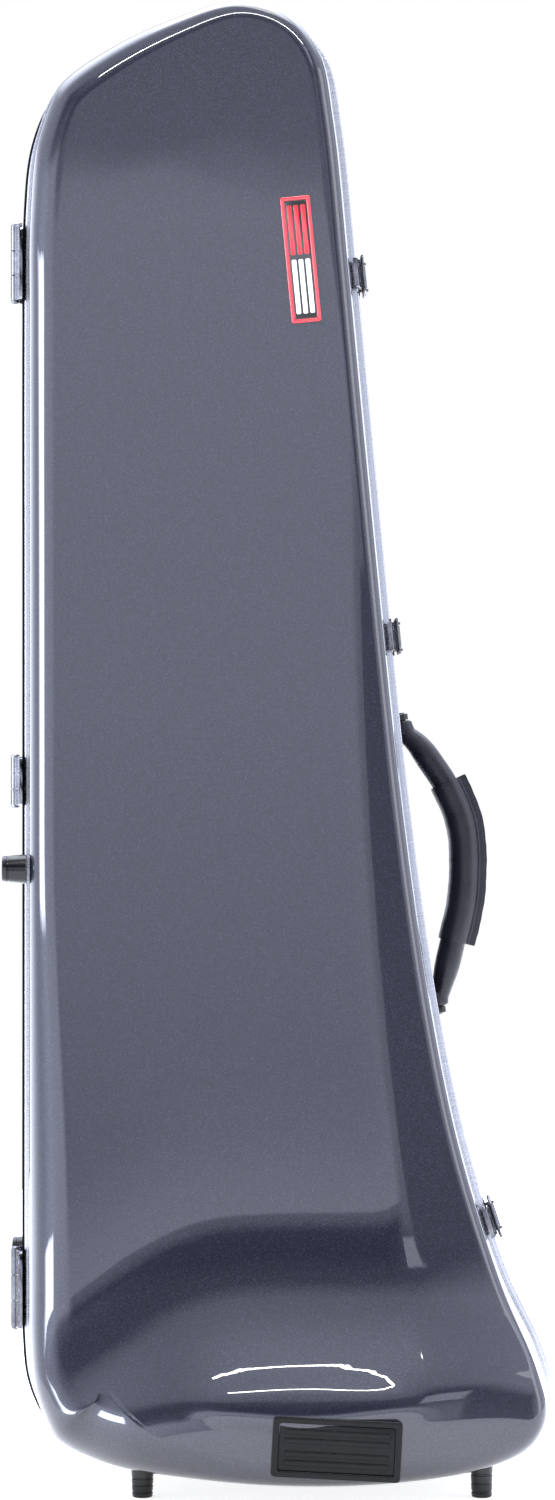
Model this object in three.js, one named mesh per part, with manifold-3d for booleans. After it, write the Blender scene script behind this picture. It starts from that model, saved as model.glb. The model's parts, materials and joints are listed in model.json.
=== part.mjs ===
// A hard-shell tenor trombone case, standing upright on its bell end.
// Millimetres, +Z up, +X towards the handle side, and the lid faces -Y.
// Two moulded fibreglass shells meet at a parting plane, y = 0 while the parts are made.
// Each shell is a draught-angled flank all round an outline, an edge rounding, and a face whose
// depth swells into a bell-shaped bulge at the bottom.

import * as THREE from 'three';
import { mergeVertices } from 'three/addons/utils/BufferGeometryUtils.js';
import Module from 'manifold-3d';

const wasm = await Module();
wasm.setup();

// ---------- driving dimensions ----------

// The case outline at the parting plane, as x, z, clockwise from the bottom left.
const OUTLINE = [
  [-112, 16.5], [-144, 32], [-159, 60], [-162.7, 90],
  [-163, 125], [-163, 320], [-163, 560], [-163, 735],
  [-162.5, 800], [-157, 852], [-142, 884], [-112, 907], [-68, 928], [-24, 940],
  [10, 930], [31, 905], [40, 862], [50, 765], [61, 649], [83, 432], [101, 304], [120, 212],
  [146, 131], [168, 84], [175, 53], [163, 29], [133, 15],
  [80, 6.5], [22, 4], [-48, 7.5],
];
// Places along the outline, in points, where its four sides meet.
const CORNER = { bottomLeft: 1, topLeft: 10, topRight: 15, bottomRight: 25 };
const ROWS = 20; // steps up each long side
const COLUMNS = 10; // steps across the top and the bottom
const ROW_CROWDING = 0.75; // how much closer the rows are at both ends, 0 to 1

const DRAFT = 0.08; // how far a flank leans in for each unit of depth
const WALL = 3; // fibreglass
const EDGE_ARC_STEPS = 3;
const GAP = 0.3; // between touching parts

const LID = { // depths are measured from the parting plane
  towards: -1,
  depthAtBottom: 72,
  depthAtTop: 60,
  bellDepth: 128,
  facetSlope: 0.36,
};
const BACK = {
  towards: 1,
  depthAtBottom: 90,
  depthAtTop: 80,
  bellDepth: 130,
  facetSlope: 0.2,
};
const CASE_HEIGHT = 940;
const FLARE = { // the face swells out of its plane over the bell
  onset: 130, // height where the slope is half its steepest, over the bell's middle
  softness: 27,
  steepness: 0.86,
  lip: 5, // how gently the slope rolls over into the bulge's front
  middle: 40, // the onset falls away to both sides of here
  reach: 140,
  drop: 120,
};
const BULGE_CENTRE = 15;
const BULGE_BREADTH = 260;

const RIM = { near: 1, far: 6, proud: 1, inward: 7 }; // aluminium valance
const GASKET = { half: 0.7, proud: 0.3, inward: 4 };
const SHELL_START = RIM.far + GAP;
const LINING_FACE = SHELL_START; // the back lining's flat face, behind the parting plane
const LINING_OFFSET = WALL + 0.6; // clear of the shell, whose faces are flat between rows
const LID_LINING_THICKNESS = 9;

const HINGE_SIDE_X = -163;
const HINGE = { offset: 4.6, knuckle: 3.1, bore: 1.6, pin: 1.3, lidLeaf: 19, backLeaf: 32 };
const HINGES = { // name: height of the middle, length
  upper: [776, 48],
  middle: [445, 31],
  lower: [121, 50],
};
const LATCHES = { upper: 768, middle: 537, lower: 164 };

const BELL = { x: 36, rimRadius: 110, rimBottom: 32, rimTop: 46, neck: 18, fade: 55, top: 600 };
const SLIDE_WELL = { x: [-140, -70], z: [120, 840], depth: 45 };
const ACCESSORY_WELL = { x: [-40, 2], z: [670, 850], depth: 50 };

// ---------- materials ----------

const material = (color, roughness, metalness) =>
  new THREE.MeshStandardMaterial({ color, roughness, metalness });
const SHELL = material(0x5c606c, 0.15, 0.35);
const ALUMINIUM = material(0xc4c6c9, 0.35, 0.9);
const CHROME = material(0xd0d2d5, 0.15, 1);
const BLACK_METAL = material(0x1c1c1e, 0.4, 0.6);
const RUBBER = material(0x141416, 0.8, 0);
const LEATHER = material(0x17181b, 0.55, 0);
const PLUSH = material(0x16171a, 0.95, 0);
const WEBBING = material(0x1b1b1e, 0.9, 0);
const BADGE_RED = material(0xc3202b, 0.2, 0);
const BADGE_BLACK = material(0x101012, 0.25, 0);

// ---------- solids and placing ----------

const part = new THREE.Group();

function add(parent, name, geometry, finish) {
  const mesh = new THREE.Mesh(geometry, finish);
  mesh.name = name;
  parent.add(mesh);
  return mesh;
}

function toSolid(geometry) {
  const bare = geometry.index ? geometry.clone() : geometry;
  bare.deleteAttribute('normal');
  bare.deleteAttribute('uv');
  const merged = mergeVertices(bare, 1e-4);
  return new wasm.Manifold(new wasm.Mesh({
    numProp: 3,
    vertProperties: new Float32Array(merged.attributes.position.array),
    triVerts: new Uint32Array(merged.index.array),
  }));
}

function toGeometry(solid) {
  const mesh = solid.getMesh();
  const geometry = new THREE.BufferGeometry();
  geometry.setAttribute('position', new THREE.BufferAttribute(mesh.vertProperties, 3));
  geometry.setIndex(new THREE.BufferAttribute(mesh.triVerts, 1));
  geometry.computeVertexNormals();
  return geometry;
}

// A closed body from points and triangles, turned so that its faces point out.
function facingOut(points, triangles) {
  let volume = 0;
  for (const [a, b, c] of triangles) {
    volume += points[a].dot(new THREE.Vector3().crossVectors(points[b], points[c]));
  }
  const turned = volume < 0 ? triangles.map(([a, b, c]) => [a, c, b]) : triangles;
  const geometry = new THREE.BufferGeometry();
  geometry.setFromPoints(points);
  geometry.setIndex(turned.flat());
  geometry.computeVertexNormals();
  return geometry;
}

function block([x0, x1], [y0, y1], [z0, z1]) {
  const geometry = new THREE.BoxGeometry(x1 - x0, y1 - y0, z1 - z0);
  return geometry.translate((x0 + x1) / 2, (y0 + y1) / 2, (z0 + z1) / 2);
}

// An upright bar of round section, from z0 to z1.
function roundBar(x, y, [z0, z1], radius, sides = 12) {
  const geometry = new THREE.CylinderGeometry(radius, radius, z1 - z0, sides);
  return geometry.rotateX(Math.PI / 2).translate(x, y, (z0 + z1) / 2);
}

// A flat outline in x, y, drawn upwards from z0 to z1.
function upright(corners, [z0, z1]) {
  const shape = new THREE.Shape(corners.map(([x, y]) => new THREE.Vector2(x, y)));
  const geometry = new THREE.ExtrudeGeometry(shape, { depth: z1 - z0, bevelEnabled: false });
  return geometry.translate(0, 0, z0);
}

const join = (...geometries) =>
  geometries.map(toSolid).reduce((whole, next) => whole.add(next));
const cut = (solid, ...geometries) =>
  geometries.map(toSolid).reduce((whole, next) => whole.subtract(next), solid);

// ---------- the outline ----------

const outlineCurve = new THREE.CatmullRomCurve3(
  OUTLINE.map(([x, z]) => new THREE.Vector3(x, 0, z)), true);

// The outline's point at a place counted in outline points, with its outward direction.
function outlineAt(place) {
  const t = (place / OUTLINE.length) % 1;
  const step = 1e-4;
  const before = outlineCurve.getPoint((t - step + 1) % 1);
  const after = outlineCurve.getPoint((t + step) % 1);
  const along = after.sub(before).normalize();
  return { point: outlineCurve.getPoint(t), out: new THREE.Vector3(-along.z, 0, along.x) };
}

// The place between two others, on a side that only climbs or only falls, at one height.
function placeAtHeight(from, to, height) {
  const rising = outlineAt(to).point.z > outlineAt(from).point.z;
  let low = from;
  let high = to;
  for (let i = 0; i < 40; i += 1) {
    const middle = (low + high) / 2;
    const above = outlineAt(middle).point.z > height;
    if (above === rising) high = middle;
    else low = middle;
  }
  return (low + high) / 2;
}

const mix = (a, b, t) => a + (b - a) * t;
const crowded = (t) => t - ROW_CROWDING * Math.sin(2 * Math.PI * t) / (2 * Math.PI);

function longSide(from, to) {
  const heights = [outlineAt(from).point.z, outlineAt(to).point.z];
  return Array.from({ length: ROWS }, (_, i) =>
    placeAtHeight(from, to, mix(...heights, crowded(i / ROWS))));
}

function shortSide(from, to) {
  return Array.from({ length: COLUMNS }, (_, i) => mix(from, to, i / COLUMNS));
}

// Once round the outline, clockwise from the bottom left corner.
const LOOP = [
  ...longSide(CORNER.bottomLeft, CORNER.topLeft),
  ...shortSide(CORNER.topLeft, CORNER.topRight),
  ...longSide(CORNER.topRight, CORNER.bottomRight),
  ...shortSide(CORNER.bottomRight, OUTLINE.length + CORNER.bottomLeft),
].map(outlineAt);

// A point on the handle side at one height, as a group whose X is outward and Z runs up the side.
function handleSideGroup(height) {
  const { point, out } = outlineAt(
    placeAtHeight(CORNER.topRight, CORNER.bottomRight, height));
  const group = new THREE.Group();
  group.position.copy(point);
  group.rotation.y = -Math.atan2(out.z, out.x);
  part.add(group);
  return group;
}

// ---------- the shells' shape ----------

function smoothstep(from, to, value) {
  const t = Math.min(Math.max((value - from) / (to - from), 0), 1);
  return t * t * (3 - 2 * t);
}

// How far the face has swelled out of its plane at one place, when it may swell by room at most.
function swelling(room, x, z) {
  const aside = ((x - FLARE.middle) / FLARE.reach) ** 4;
  const onset = FLARE.onset - FLARE.drop * aside / (3 + aside);
  const climb = FLARE.steepness * FLARE.softness
    * Math.log1p(Math.exp((onset - z) / FLARE.softness));
  return -FLARE.lip * Math.log(Math.exp(-climb / FLARE.lip) + Math.exp(-room / FLARE.lip));
}

// The crease that runs down the face beside the handle side, and moves out over the bell.
function creaseX(z) {
  const below = Math.max(1 - z / 624, 0);
  return 45 + 58 * below * below;
}

function faceDepth(half, x, z) {
  const plain = mix(half.depthAtBottom, half.depthAtTop, z / CASE_HEIGHT);
  const dome = 1 - ((x - BULGE_CENTRE) / BULGE_BREADTH) ** 2;
  const softness = 4;
  const past = softness * Math.log1p(Math.exp((x - creaseX(z)) / softness));
  const room = (half.bellDepth - plain) * dome;
  const swell = swelling(room, x, z);
  return plain + swell - half.facetSlope * past * (1 - 0.6 * swell / room);
}

// The edge rounding is tight on the handle side and generous on the hinge side over the bell.
function edgeRadius(x, z) {
  const hingeSide = smoothstep(0, -140, x);
  return 11 + hingeSide * (8 + 12 * smoothstep(420, 140, z)) + 5 * smoothstep(90, 20, z);
}

// From the parting plane up one flank and round its edge: [inset, depth] for each step.
function edgeProfile(half, { point, out }, offset, start) {
  const depthAt = (inset) =>
    faceDepth(half, point.x - out.x * inset, point.z - out.z * inset) - offset;
  const radius = Math.max(edgeRadius(point.x, point.z) - offset, 4);
  const slope = (depthAt(radius + offset + 10) - depthAt(radius + offset + 2)) / 8;
  const level = depthAt(radius + offset + 2) - slope * (radius + offset + 2);
  const cornerDepth = (level + slope * offset) / (1 - slope * DRAFT);
  const flankAngle = Math.atan2(1, DRAFT);
  const faceAngle = Math.atan2(slope, 1);
  const reach = radius * Math.tan((flankAngle - faceAngle) / 2);
  const foot = [
    offset + DRAFT * cornerDepth - reach * Math.cos(flankAngle),
    cornerDepth - reach * Math.sin(flankAngle),
  ];
  const centre = [
    foot[0] + radius * Math.sin(flankAngle),
    foot[1] - radius * Math.cos(flankAngle),
  ];
  const steps = [start, mix(start, foot[1], 0.5)].map((depth) => [offset + DRAFT * depth, depth]);
  for (let i = 0; i <= EDGE_ARC_STEPS; i += 1) {
    const angle = mix(flankAngle, faceAngle, i / EDGE_ARC_STEPS);
    steps.push([
      centre[0] - radius * Math.sin(angle),
      centre[1] + radius * Math.cos(angle),
    ]);
  }
  return steps;
}

// Fills the inside of a closed loop with a grid, which blends between its four sides.
function fillGrid(loop) {
  const total = 2 * (ROWS + COLUMNS);
  const left = (j) => loop[j];
  const top = (i) => loop[ROWS + i];
  const right = (j) => loop[2 * ROWS + COLUMNS - j];
  const bottom = (i) => loop[(total - i) % total];
  return (i, j) => {
    const u = i / COLUMNS;
    const v = j / ROWS;
    const point = new THREE.Vector3();
    point.addScaledVector(left(j), 1 - u).addScaledVector(right(j), u);
    point.addScaledVector(bottom(i), 1 - v).addScaledVector(top(i), v);
    point.addScaledVector(left(0), -(1 - u) * (1 - v)).addScaledVector(right(0), -u * (1 - v));
    point.addScaledVector(left(ROWS), -(1 - u) * v).addScaledVector(right(ROWS), -u * v);
    return point;
  };
}

// Adds one skin of a case half to the lists, and gives back the index of its first ring.
// A flat skin has only its outline, at one depth.
function addSkin(points, triangles, half, offset, start, flat, flipped) {
  const base = points.length;
  const total = LOOP.length;
  const face = (a, b, c) => triangles.push(flipped ? [a, c, b] : [a, b, c]);
  const profiles = LOOP.map((at) => {
    const profile = edgeProfile(half, at, offset, start);
    return flat ? profile.slice(0, 1) : profile;
  });
  const rings = profiles[0].length;
  for (let ring = 0; ring < rings; ring += 1) {
    LOOP.forEach(({ point, out }, k) => {
      const [inset, depth] = profiles[k][ring];
      points.push(new THREE.Vector3(
        point.x - out.x * inset, half.towards * depth, point.z - out.z * inset));
    });
  }
  for (let ring = 0; ring < rings - 1; ring += 1) {
    for (let k = 0; k < total; k += 1) {
      const a = base + ring * total + k;
      const b = base + ring * total + (k + 1) % total;
      face(a, b, b + total);
      face(a, b + total, a + total);
    }
  }
  const last = base + (rings - 1) * total;
  const inside = fillGrid(points.slice(last, last + total));
  const first = points.length;
  const gridIndex = (i, j) => {
    if (i === 0) return last + j;
    if (j === ROWS) return last + ROWS + i;
    if (i === COLUMNS) return last + 2 * ROWS + COLUMNS - j;
    if (j === 0) return last + total - i;
    return first + (i - 1) * (ROWS - 1) + (j - 1);
  };
  for (let i = 1; i < COLUMNS; i += 1) {
    for (let j = 1; j < ROWS; j += 1) {
      const point = inside(i, j);
      if (!flat) point.y = half.towards * (faceDepth(half, point.x, point.z) - offset);
      points.push(point);
    }
  }
  for (let i = 0; i < COLUMNS; i += 1) {
    for (let j = 0; j < ROWS; j += 1) {
      face(gridIndex(i, j), gridIndex(i, j + 1), gridIndex(i + 1, j + 1));
      face(gridIndex(i, j), gridIndex(i + 1, j + 1), gridIndex(i + 1, j));
    }
  }
  return base;
}

// A half's body between two skins. Without an inner offset it is filled up to its flat start.
function caseBody(half, outerOffset, innerOffset, start) {
  const points = [];
  const triangles = [];
  const filled = innerOffset === null;
  const outer = addSkin(points, triangles, half, outerOffset, start, false, false);
  const inner = addSkin(
    points, triangles, half, filled ? outerOffset : innerOffset, start, filled, true);
  const total = LOOP.length;
  for (let k = 0; k < total; k += 1) {
    const next = (k + 1) % total;
    triangles.push([outer + k, inner + k, inner + next]);
    triangles.push([outer + k, inner + next, outer + next]);
  }
  if (!filled) return facingOut(points, triangles);
  const merged = mergeVertices(facingOut(points, triangles).deleteAttribute('normal'), 1e-4);
  return withoutSlivers(merged);
}

// Drops the triangles that merging has folded to nothing.
function withoutSlivers(geometry) {
  const index = Array.from(geometry.index.array);
  const kept = [];
  for (let i = 0; i < index.length; i += 3) {
    const [a, b, c] = index.slice(i, i + 3);
    if (a !== b && b !== c && c !== a) kept.push(a, b, c);
  }
  geometry.setIndex(kept);
  geometry.computeVertexNormals();
  return geometry;
}

// A band of rectangular section that follows the outline.
function outlineBand(y0, y1, proud, inward) {
  const points = [];
  const triangles = [];
  for (const { point, out } of LOOP) {
    for (const [inset, y] of [[-proud, y0], [-proud, y1], [inward, y1], [inward, y0]]) {
      points.push(new THREE.Vector3(point.x - out.x * inset, y, point.z - out.z * inset));
    }
  }
  for (let k = 0; k < LOOP.length; k += 1) {
    for (let corner = 0; corner < 4; corner += 1) {
      const a = 4 * k + corner;
      const b = 4 * k + (corner + 1) % 4;
      const c = (b + 4) % points.length;
      const d = (a + 4) % points.length;
      triangles.push([a, b, c], [a, c, d]);
    }
  }
  return facingOut(points, triangles);
}

const grownLid = toSolid(caseBody(LID, -GAP, null, 0));
const grownBack = toSolid(caseBody(BACK, -GAP, null, 0));

// Adds a piece made in a side group's own axes, with its underside cut to sit on the case.
function addSeated(place, name, geometry, grown, finish) {
  place.updateMatrix();
  const solid = toSolid(geometry.applyMatrix4(place.matrix)).subtract(grown);
  add(part, name, toGeometry(solid), finish);
}

// ---------- shells, valances and gasket ----------

add(part, 'lid_shell', caseBody(LID, 0, WALL, SHELL_START), SHELL);
add(part, 'back_shell', caseBody(BACK, 0, WALL, SHELL_START), SHELL);
add(part, 'lid_rim', outlineBand(-RIM.far, -RIM.near, RIM.proud, RIM.inward), ALUMINIUM);
add(part, 'back_rim', outlineBand(RIM.near, RIM.far, RIM.proud, RIM.inward), ALUMINIUM);
add(part, 'rim_gasket',
  outlineBand(-GASKET.half, GASKET.half, GASKET.proud, GASKET.inward), RUBBER);

// ---------- linings ----------

add(part, 'lid_lining',
  caseBody(LID, LINING_OFFSET, LINING_OFFSET + LID_LINING_THICKNESS, SHELL_START), PLUSH);

// The hollow for the bell, turned about its upright axis.
function bellHollow() {
  const heights = [BELL.rimTop, 62, 85, 120, 170, 260, BELL.top];
  const radii = heights.map((z) =>
    BELL.neck + (BELL.rimRadius - BELL.neck) * Math.exp((BELL.rimTop - z) / BELL.fade));
  const profile = [
    new THREE.Vector2(0, BELL.rimBottom),
    new THREE.Vector2(BELL.rimRadius, BELL.rimBottom),
    ...heights.map((z, i) => new THREE.Vector2(radii[i], z)),
    new THREE.Vector2(0, BELL.top),
  ];
  return new THREE.LatheGeometry(profile, 28).rotateX(Math.PI / 2).translate(BELL.x, 0, 0);
}

const DOOR_THICKNESS = 3.5;
const DOOR_MARGIN = 4;
const doorX = [ACCESSORY_WELL.x[0] - DOOR_MARGIN, ACCESSORY_WELL.x[1] + DOOR_MARGIN];
const doorZ = [ACCESSORY_WELL.z[0] - DOOR_MARGIN, ACCESSORY_WELL.z[1] + DOOR_MARGIN];
const doorSeat = LINING_FACE + 1 + DOOR_THICKNESS;
const ABOVE = -10; // in front of the lining's face, so that a cut opens it

add(part, 'back_lining', toGeometry(cut(
  toSolid(caseBody(BACK, LINING_OFFSET, null, LINING_FACE)),
  bellHollow(),
  block(SLIDE_WELL.x, [ABOVE, SLIDE_WELL.depth], SLIDE_WELL.z),
  block(ACCESSORY_WELL.x, [ABOVE, ACCESSORY_WELL.depth], ACCESSORY_WELL.z),
  block([doorX[0] - 1, doorX[1] + 1], [ABOVE, doorSeat + GAP], [doorZ[0] - 1, doorZ[1] + 1]),
)), PLUSH);

add(part, 'accessory_door',
  block(doorX, [LINING_FACE + 1, doorSeat], doorZ), PLUSH);
const TAB = { height: 24, reach: 9 };
const tabZ = (ACCESSORY_WELL.z[0] + ACCESSORY_WELL.z[1]) / 2;
add(part, 'accessory_door_tab', block(
  [doorX[1] - 16, doorX[1] - 1], [LINING_FACE - 1.2, LINING_FACE + 1 - GAP],
  [tabZ - TAB.height / 2, tabZ + TAB.height / 2]), WEBBING);

const STRAP = { width: 25, thickness: 1.8 };
function strap(name, x, z) {
  const y = [LINING_FACE - GAP - STRAP.thickness, LINING_FACE - GAP];
  add(part, name, block(x, y, [z - STRAP.width / 2, z + STRAP.width / 2]), WEBBING);
}
strap('slide_strap', [SLIDE_WELL.x[0] - 8, SLIDE_WELL.x[1] + 8], 540);
strap('bell_strap', [BELL.x - 30, BELL.x + 30], 360);

// ---------- hinges ----------

// One leaf, from the barrel along the flank it is screwed to. Its knuckles are lists of heights.
function hingeLeaf(towards, length, span, knuckles) {
  const outer = HINGE_SIDE_X - HINGE.offset + 1.4;
  const flank = (depth) => HINGE_SIDE_X + DRAFT * depth - 2 * GAP;
  const clear = RIM.far + 1;
  const leaf = upright([
    [outer - 1.6, 0], [outer, 0],
    [outer, towards * clear], [flank(clear), towards * clear],
    [flank(length), towards * length], [flank(length) - 2, towards * length],
    [outer - 1.6, towards * clear],
  ], span);
  const axisX = HINGE_SIDE_X - HINGE.offset;
  const room = HINGE.knuckle + GAP;
  let solid = toSolid(leaf);
  solid = cut(solid, roundBar(axisX, 0, [span[0] - 1, span[1] + 1], room));
  for (const knuckle of knuckles) {
    solid = solid.add(toSolid(roundBar(axisX, 0, knuckle, HINGE.knuckle)));
    solid = solid.add(toSolid(block(
      [outer - 1.6, outer], [Math.min(0, 4 * towards), Math.max(0, 4 * towards)], knuckle)));
  }
  return cut(solid, roundBar(axisX, 0, [span[0] - 1, span[1] + 1], HINGE.bore));
}

for (const [name, [middle, length]] of Object.entries(HINGES)) {
  const span = [middle - length / 2, middle + length / 2];
  const third = length / 3;
  const axisX = HINGE_SIDE_X - HINGE.offset;
  add(part, `hinge_${name}_lid_leaf`, toGeometry(hingeLeaf(
    LID.towards, HINGE.lidLeaf, span,
    [[span[0] + third + GAP, span[1] - third - GAP]])), CHROME);
  add(part, `hinge_${name}_back_leaf`, toGeometry(hingeLeaf(
    BACK.towards, HINGE.backLeaf, span,
    [[span[0], span[0] + third], [span[1] - third, span[1]]])), CHROME);
  const head = 1.2;
  add(part, `hinge_${name}_pin`, toGeometry(join(
    roundBar(axisX, 0, [span[0] - GAP - head, span[1] + GAP + head], HINGE.pin, 8),
    roundBar(axisX, 0, [span[0] - GAP - head, span[0] - GAP], HINGE.knuckle - 0.5),
    roundBar(axisX, 0, [span[1] + GAP, span[1] + GAP + head], HINGE.knuckle - 0.5),
  )), CHROME);
}

// ---------- draw latches ----------

const LATCH = {
  pivot: [5, 13], // outward, back
  bailPivot: [5, 18],
  pin: 0.9,
  bore: 1.2,
  lugRadius: 3,
  lugZ: [7.7, 9.3],
  leverHalf: 7.2,
  leverWide: 11,
  leverEnd: 38,
  bailArm: [9.7, 11.5],
  bailReach: -15.8,
  baseHalf: 12,
  baseEnd: 34,
  keeperHalf: 9,
};
const flankClear = (y) => 2 * GAP - DRAFT * Math.abs(y);
const bothSides = ([a, b]) => [[a, b], [-b, -a]];

function latchBase() {
  const [x, y] = LATCH.pivot;
  const near = RIM.far + 1;
  const plate = upright([
    [flankClear(near), near], [2.2, near], [2.2, LATCH.baseEnd - 3],
    [1.2, LATCH.baseEnd], [flankClear(LATCH.baseEnd), LATCH.baseEnd],
  ], [-LATCH.baseHalf, LATCH.baseHalf]);
  const lugs = bothSides(LATCH.lugZ).flatMap((z) => [
    block([1, x], [y - LATCH.lugRadius, y + LATCH.lugRadius], z),
    roundBar(x, y, z, LATCH.lugRadius),
  ]);
  return cut(join(plate, ...lugs), roundBar(x, y, [-12, 12], LATCH.bore, 8));
}

function latchLever() {
  const [x, y] = LATCH.pivot;
  const [bailX, bailY] = LATCH.bailPivot;
  const half = LATCH.leverHalf;
  const body = upright([
    [x - 1.4, y], [x - 1.6, 22], [x - 0.8, 24], [x + 1.4, 24], [x + 1.8, 16], [x + 2.2, y],
  ], [-half, half]);
  const plate = upright([
    [x - 0.8, 21.5], [x - 0.6, 33], [x + 0.6, LATCH.leverEnd],
    [x + 2, LATCH.leverEnd], [x + 1.2, 33], [x + 1.4, 21.5],
  ], [-LATCH.leverWide, LATCH.leverWide]);
  return cut(
    join(body, plate, roundBar(x, y, [-half, half], 2.4)),
    roundBar(x, y, [-12, 12], LATCH.bore, 8),
    ...bothSides([4.5, 12]).map((z) => roundBar(bailX, bailY, z, LATCH.bore, 8)),
  );
}

function latchBail() {
  const [x, y] = LATCH.bailPivot;
  const thick = [x - 0.9, x + 0.9];
  const arms = bothSides(LATCH.bailArm).flatMap((z) => [
    block(thick, [LATCH.bailReach, y], z),
    roundBar(x, y, z, 0.9, 8),
  ]);
  const stubs = bothSides([5, LATCH.bailArm[0] + 0.5]).map((z) => roundBar(x, y, z, 0.9, 8));
  const bar = block(thick, [LATCH.bailReach, LATCH.bailReach + 1.8],
    [-LATCH.bailArm[1], LATCH.bailArm[1]]);
  return join(...arms, ...stubs, bar);
}

function latchKeeper() {
  const near = -(RIM.far + 1);
  return upright([
    [flankClear(near), near], [2, near], [3.5, -9], [3.5, -11.5], [2, -13], [2, -21],
    [1, -24], [flankClear(24), -24],
  ].reverse(), [-LATCH.keeperHalf, LATCH.keeperHalf]);
}

for (const [name, height] of Object.entries(LATCHES)) {
  const place = handleSideGroup(height);
  addSeated(place, `latch_${name}_base`, toGeometry(latchBase()), grownBack, BLACK_METAL);
  add(place, `latch_${name}_lever`, toGeometry(latchLever()), CHROME);
  add(place, `latch_${name}_bail`, toGeometry(latchBail()), CHROME);
  addSeated(place, `latch_${name}_keeper`, latchKeeper(), grownLid, CHROME);
  add(place, `latch_${name}_pin`, roundBar(...LATCH.pivot, [-9.2, 9.2], LATCH.pin, 8), CHROME);
}

// ---------- handle ----------

const HANDLE = {
  height: 390,
  back: 58, // behind the parting plane
  tube: 8.3,
  wrap: 9.9,
  flap: 14.9, // how far the wrap's closing flap stands from the tube's middle
  flapHalf: 1.6,
  eye: 6,
  eyeX: 5.5,
  eyeSpan: [84, 94],
  lugSpan: [94.4, 98.4],
  pin: 2,
  bore: 2.3,
};
// Outward and up along the side, from the upper end to the lower; the arch is fuller above.
const HANDLE_PATH = [
  [8, 84], [14, 76.5], [21.2, 63.3], [28.5, 48], [33.5, 30], [35, 12],
  [32.5, -11], [27.9, -31], [20.5, -51], [13.5, -69.7], [8, -84],
];
const WRAP_PATH = [[27.6, 50], [33.5, 30], [35, 12], [32.5, -11], [27.9, -31], [19.7, -53]];

function archCurve(path) {
  return new THREE.CatmullRomCurve3(
    path.map(([x, z]) => new THREE.Vector3(x, HANDLE.back, z)));
}

function circle(radius, sides) {
  const turn = (i) => 2 * Math.PI * i / sides;
  return Array.from({ length: sides }, (_, i) =>
    new THREE.Vector2(radius * Math.cos(turn(i)), radius * Math.sin(turn(i))));
}

function handleGrip() {
  const tube = new THREE.ExtrudeGeometry(new THREE.Shape(circle(HANDLE.tube, 12)), {
    steps: 16, extrudePath: archCurve(HANDLE_PATH), bevelEnabled: false });
  const eyes = bothSides(HANDLE.eyeSpan);
  return cut(
    join(tube, ...eyes.map((z) => roundBar(HANDLE.eyeX, HANDLE.back, z, HANDLE.eye))),
    ...bothSides([HANDLE.eyeSpan[0] + 1, HANDLE.eyeSpan[1] + 9]).map((z) =>
      roundBar(HANDLE.eyeX, HANDLE.back, z, HANDLE.bore)),
  );
}

function handleWrap() {
  const sleeve = circle(HANDLE.wrap, 12);
  const root = -Math.sqrt(HANDLE.wrap ** 2 - HANDLE.flapHalf ** 2);
  sleeve.splice(9, 1, // the point that faces outward
    new THREE.Vector2(-HANDLE.flapHalf, root), new THREE.Vector2(-HANDLE.flapHalf, -HANDLE.flap),
    new THREE.Vector2(HANDLE.flapHalf, -HANDLE.flap), new THREE.Vector2(HANDLE.flapHalf, root));
  const shape = new THREE.Shape(sleeve);
  shape.holes.push(new THREE.Path(circle(HANDLE.tube + 0.6, 12)));
  return new THREE.ExtrudeGeometry(shape, {
    steps: 8, extrudePath: archCurve(WRAP_PATH), bevelEnabled: false });
}

function handleBracket(side) {
  const y = HANDLE.back;
  const x = HANDLE.eyeX;
  const span = ([a, b]) => (side > 0 ? [a, b] : [-b, -a]);
  const plate = upright([
    [-10, y - 9], [-1, y - 9], [-1, y + 9], [-10, y + 9],
  ], span([92, 108]));
  const lug = upright([
    [-6, y - 6.5], [x, y - 4.3], [x + 3, y - 3], [x + 4.3, y],
    [x + 3, y + 3], [x, y + 4.3], [-6, y + 6.5],
  ], span(HANDLE.lugSpan));
  const bore = roundBar(x, y, span([90, 102]), HANDLE.bore);
  return toGeometry(cut(join(plate, lug), bore));
}

const handlePlace = handleSideGroup(HANDLE.height);
add(handlePlace, 'handle_grip', toGeometry(handleGrip()), RUBBER);
add(handlePlace, 'handle_wrap', handleWrap(), LEATHER);
for (const [name, side] of [['upper', 1], ['lower', -1]]) {
  addSeated(handlePlace, `handle_bracket_${name}`, handleBracket(side), grownBack, BLACK_METAL);
  const ends = side > 0 ? [86, 99.2] : [-99.2, -86];
  add(handlePlace, `handle_pin_${name}`,
    roundBar(HANDLE.eyeX, HANDLE.back, ends, HANDLE.pin), CHROME);
}

// ---------- feet ----------

const FOOT = { tip: 6.4, root: 7.6, inside: 30 };
const SIDE_FOOT = { tip: 8, root: 10, tipX: -173, rootX: -150 };

function bottomFoot(name, x, half, grown) {
  const body = new THREE.CylinderGeometry(FOOT.root, FOOT.tip, FOOT.inside, 20)
    .rotateX(Math.PI / 2).translate(x, half.towards * 70, FOOT.inside / 2);
  add(part, name, toGeometry(toSolid(body).subtract(grown)), RUBBER);
}
bottomFoot('foot_lid_left', -84, LID, grownLid);
bottomFoot('foot_lid_right', 127, LID, grownLid);
bottomFoot('foot_back_left', -84, BACK, grownBack);
bottomFoot('foot_back_right', 127, BACK, grownBack);

function sideFoot(name, y, z, grown) {
  const length = SIDE_FOOT.rootX - SIDE_FOOT.tipX;
  const body = new THREE.CylinderGeometry(SIDE_FOOT.tip, SIDE_FOOT.root, length, 20)
    .rotateZ(Math.PI / 2).translate(SIDE_FOOT.tipX + length / 2, y, z);
  add(part, name, toGeometry(toSolid(body).subtract(grown)), RUBBER);
}
sideFoot('side_foot_lid', -45, 390, grownLid);
sideFoot('side_foot_back_upper', 52, 765, grownBack);
sideFoot('side_foot_back_lower', 52, 139, grownBack);

// ---------- bumper on the bulge ----------

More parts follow.
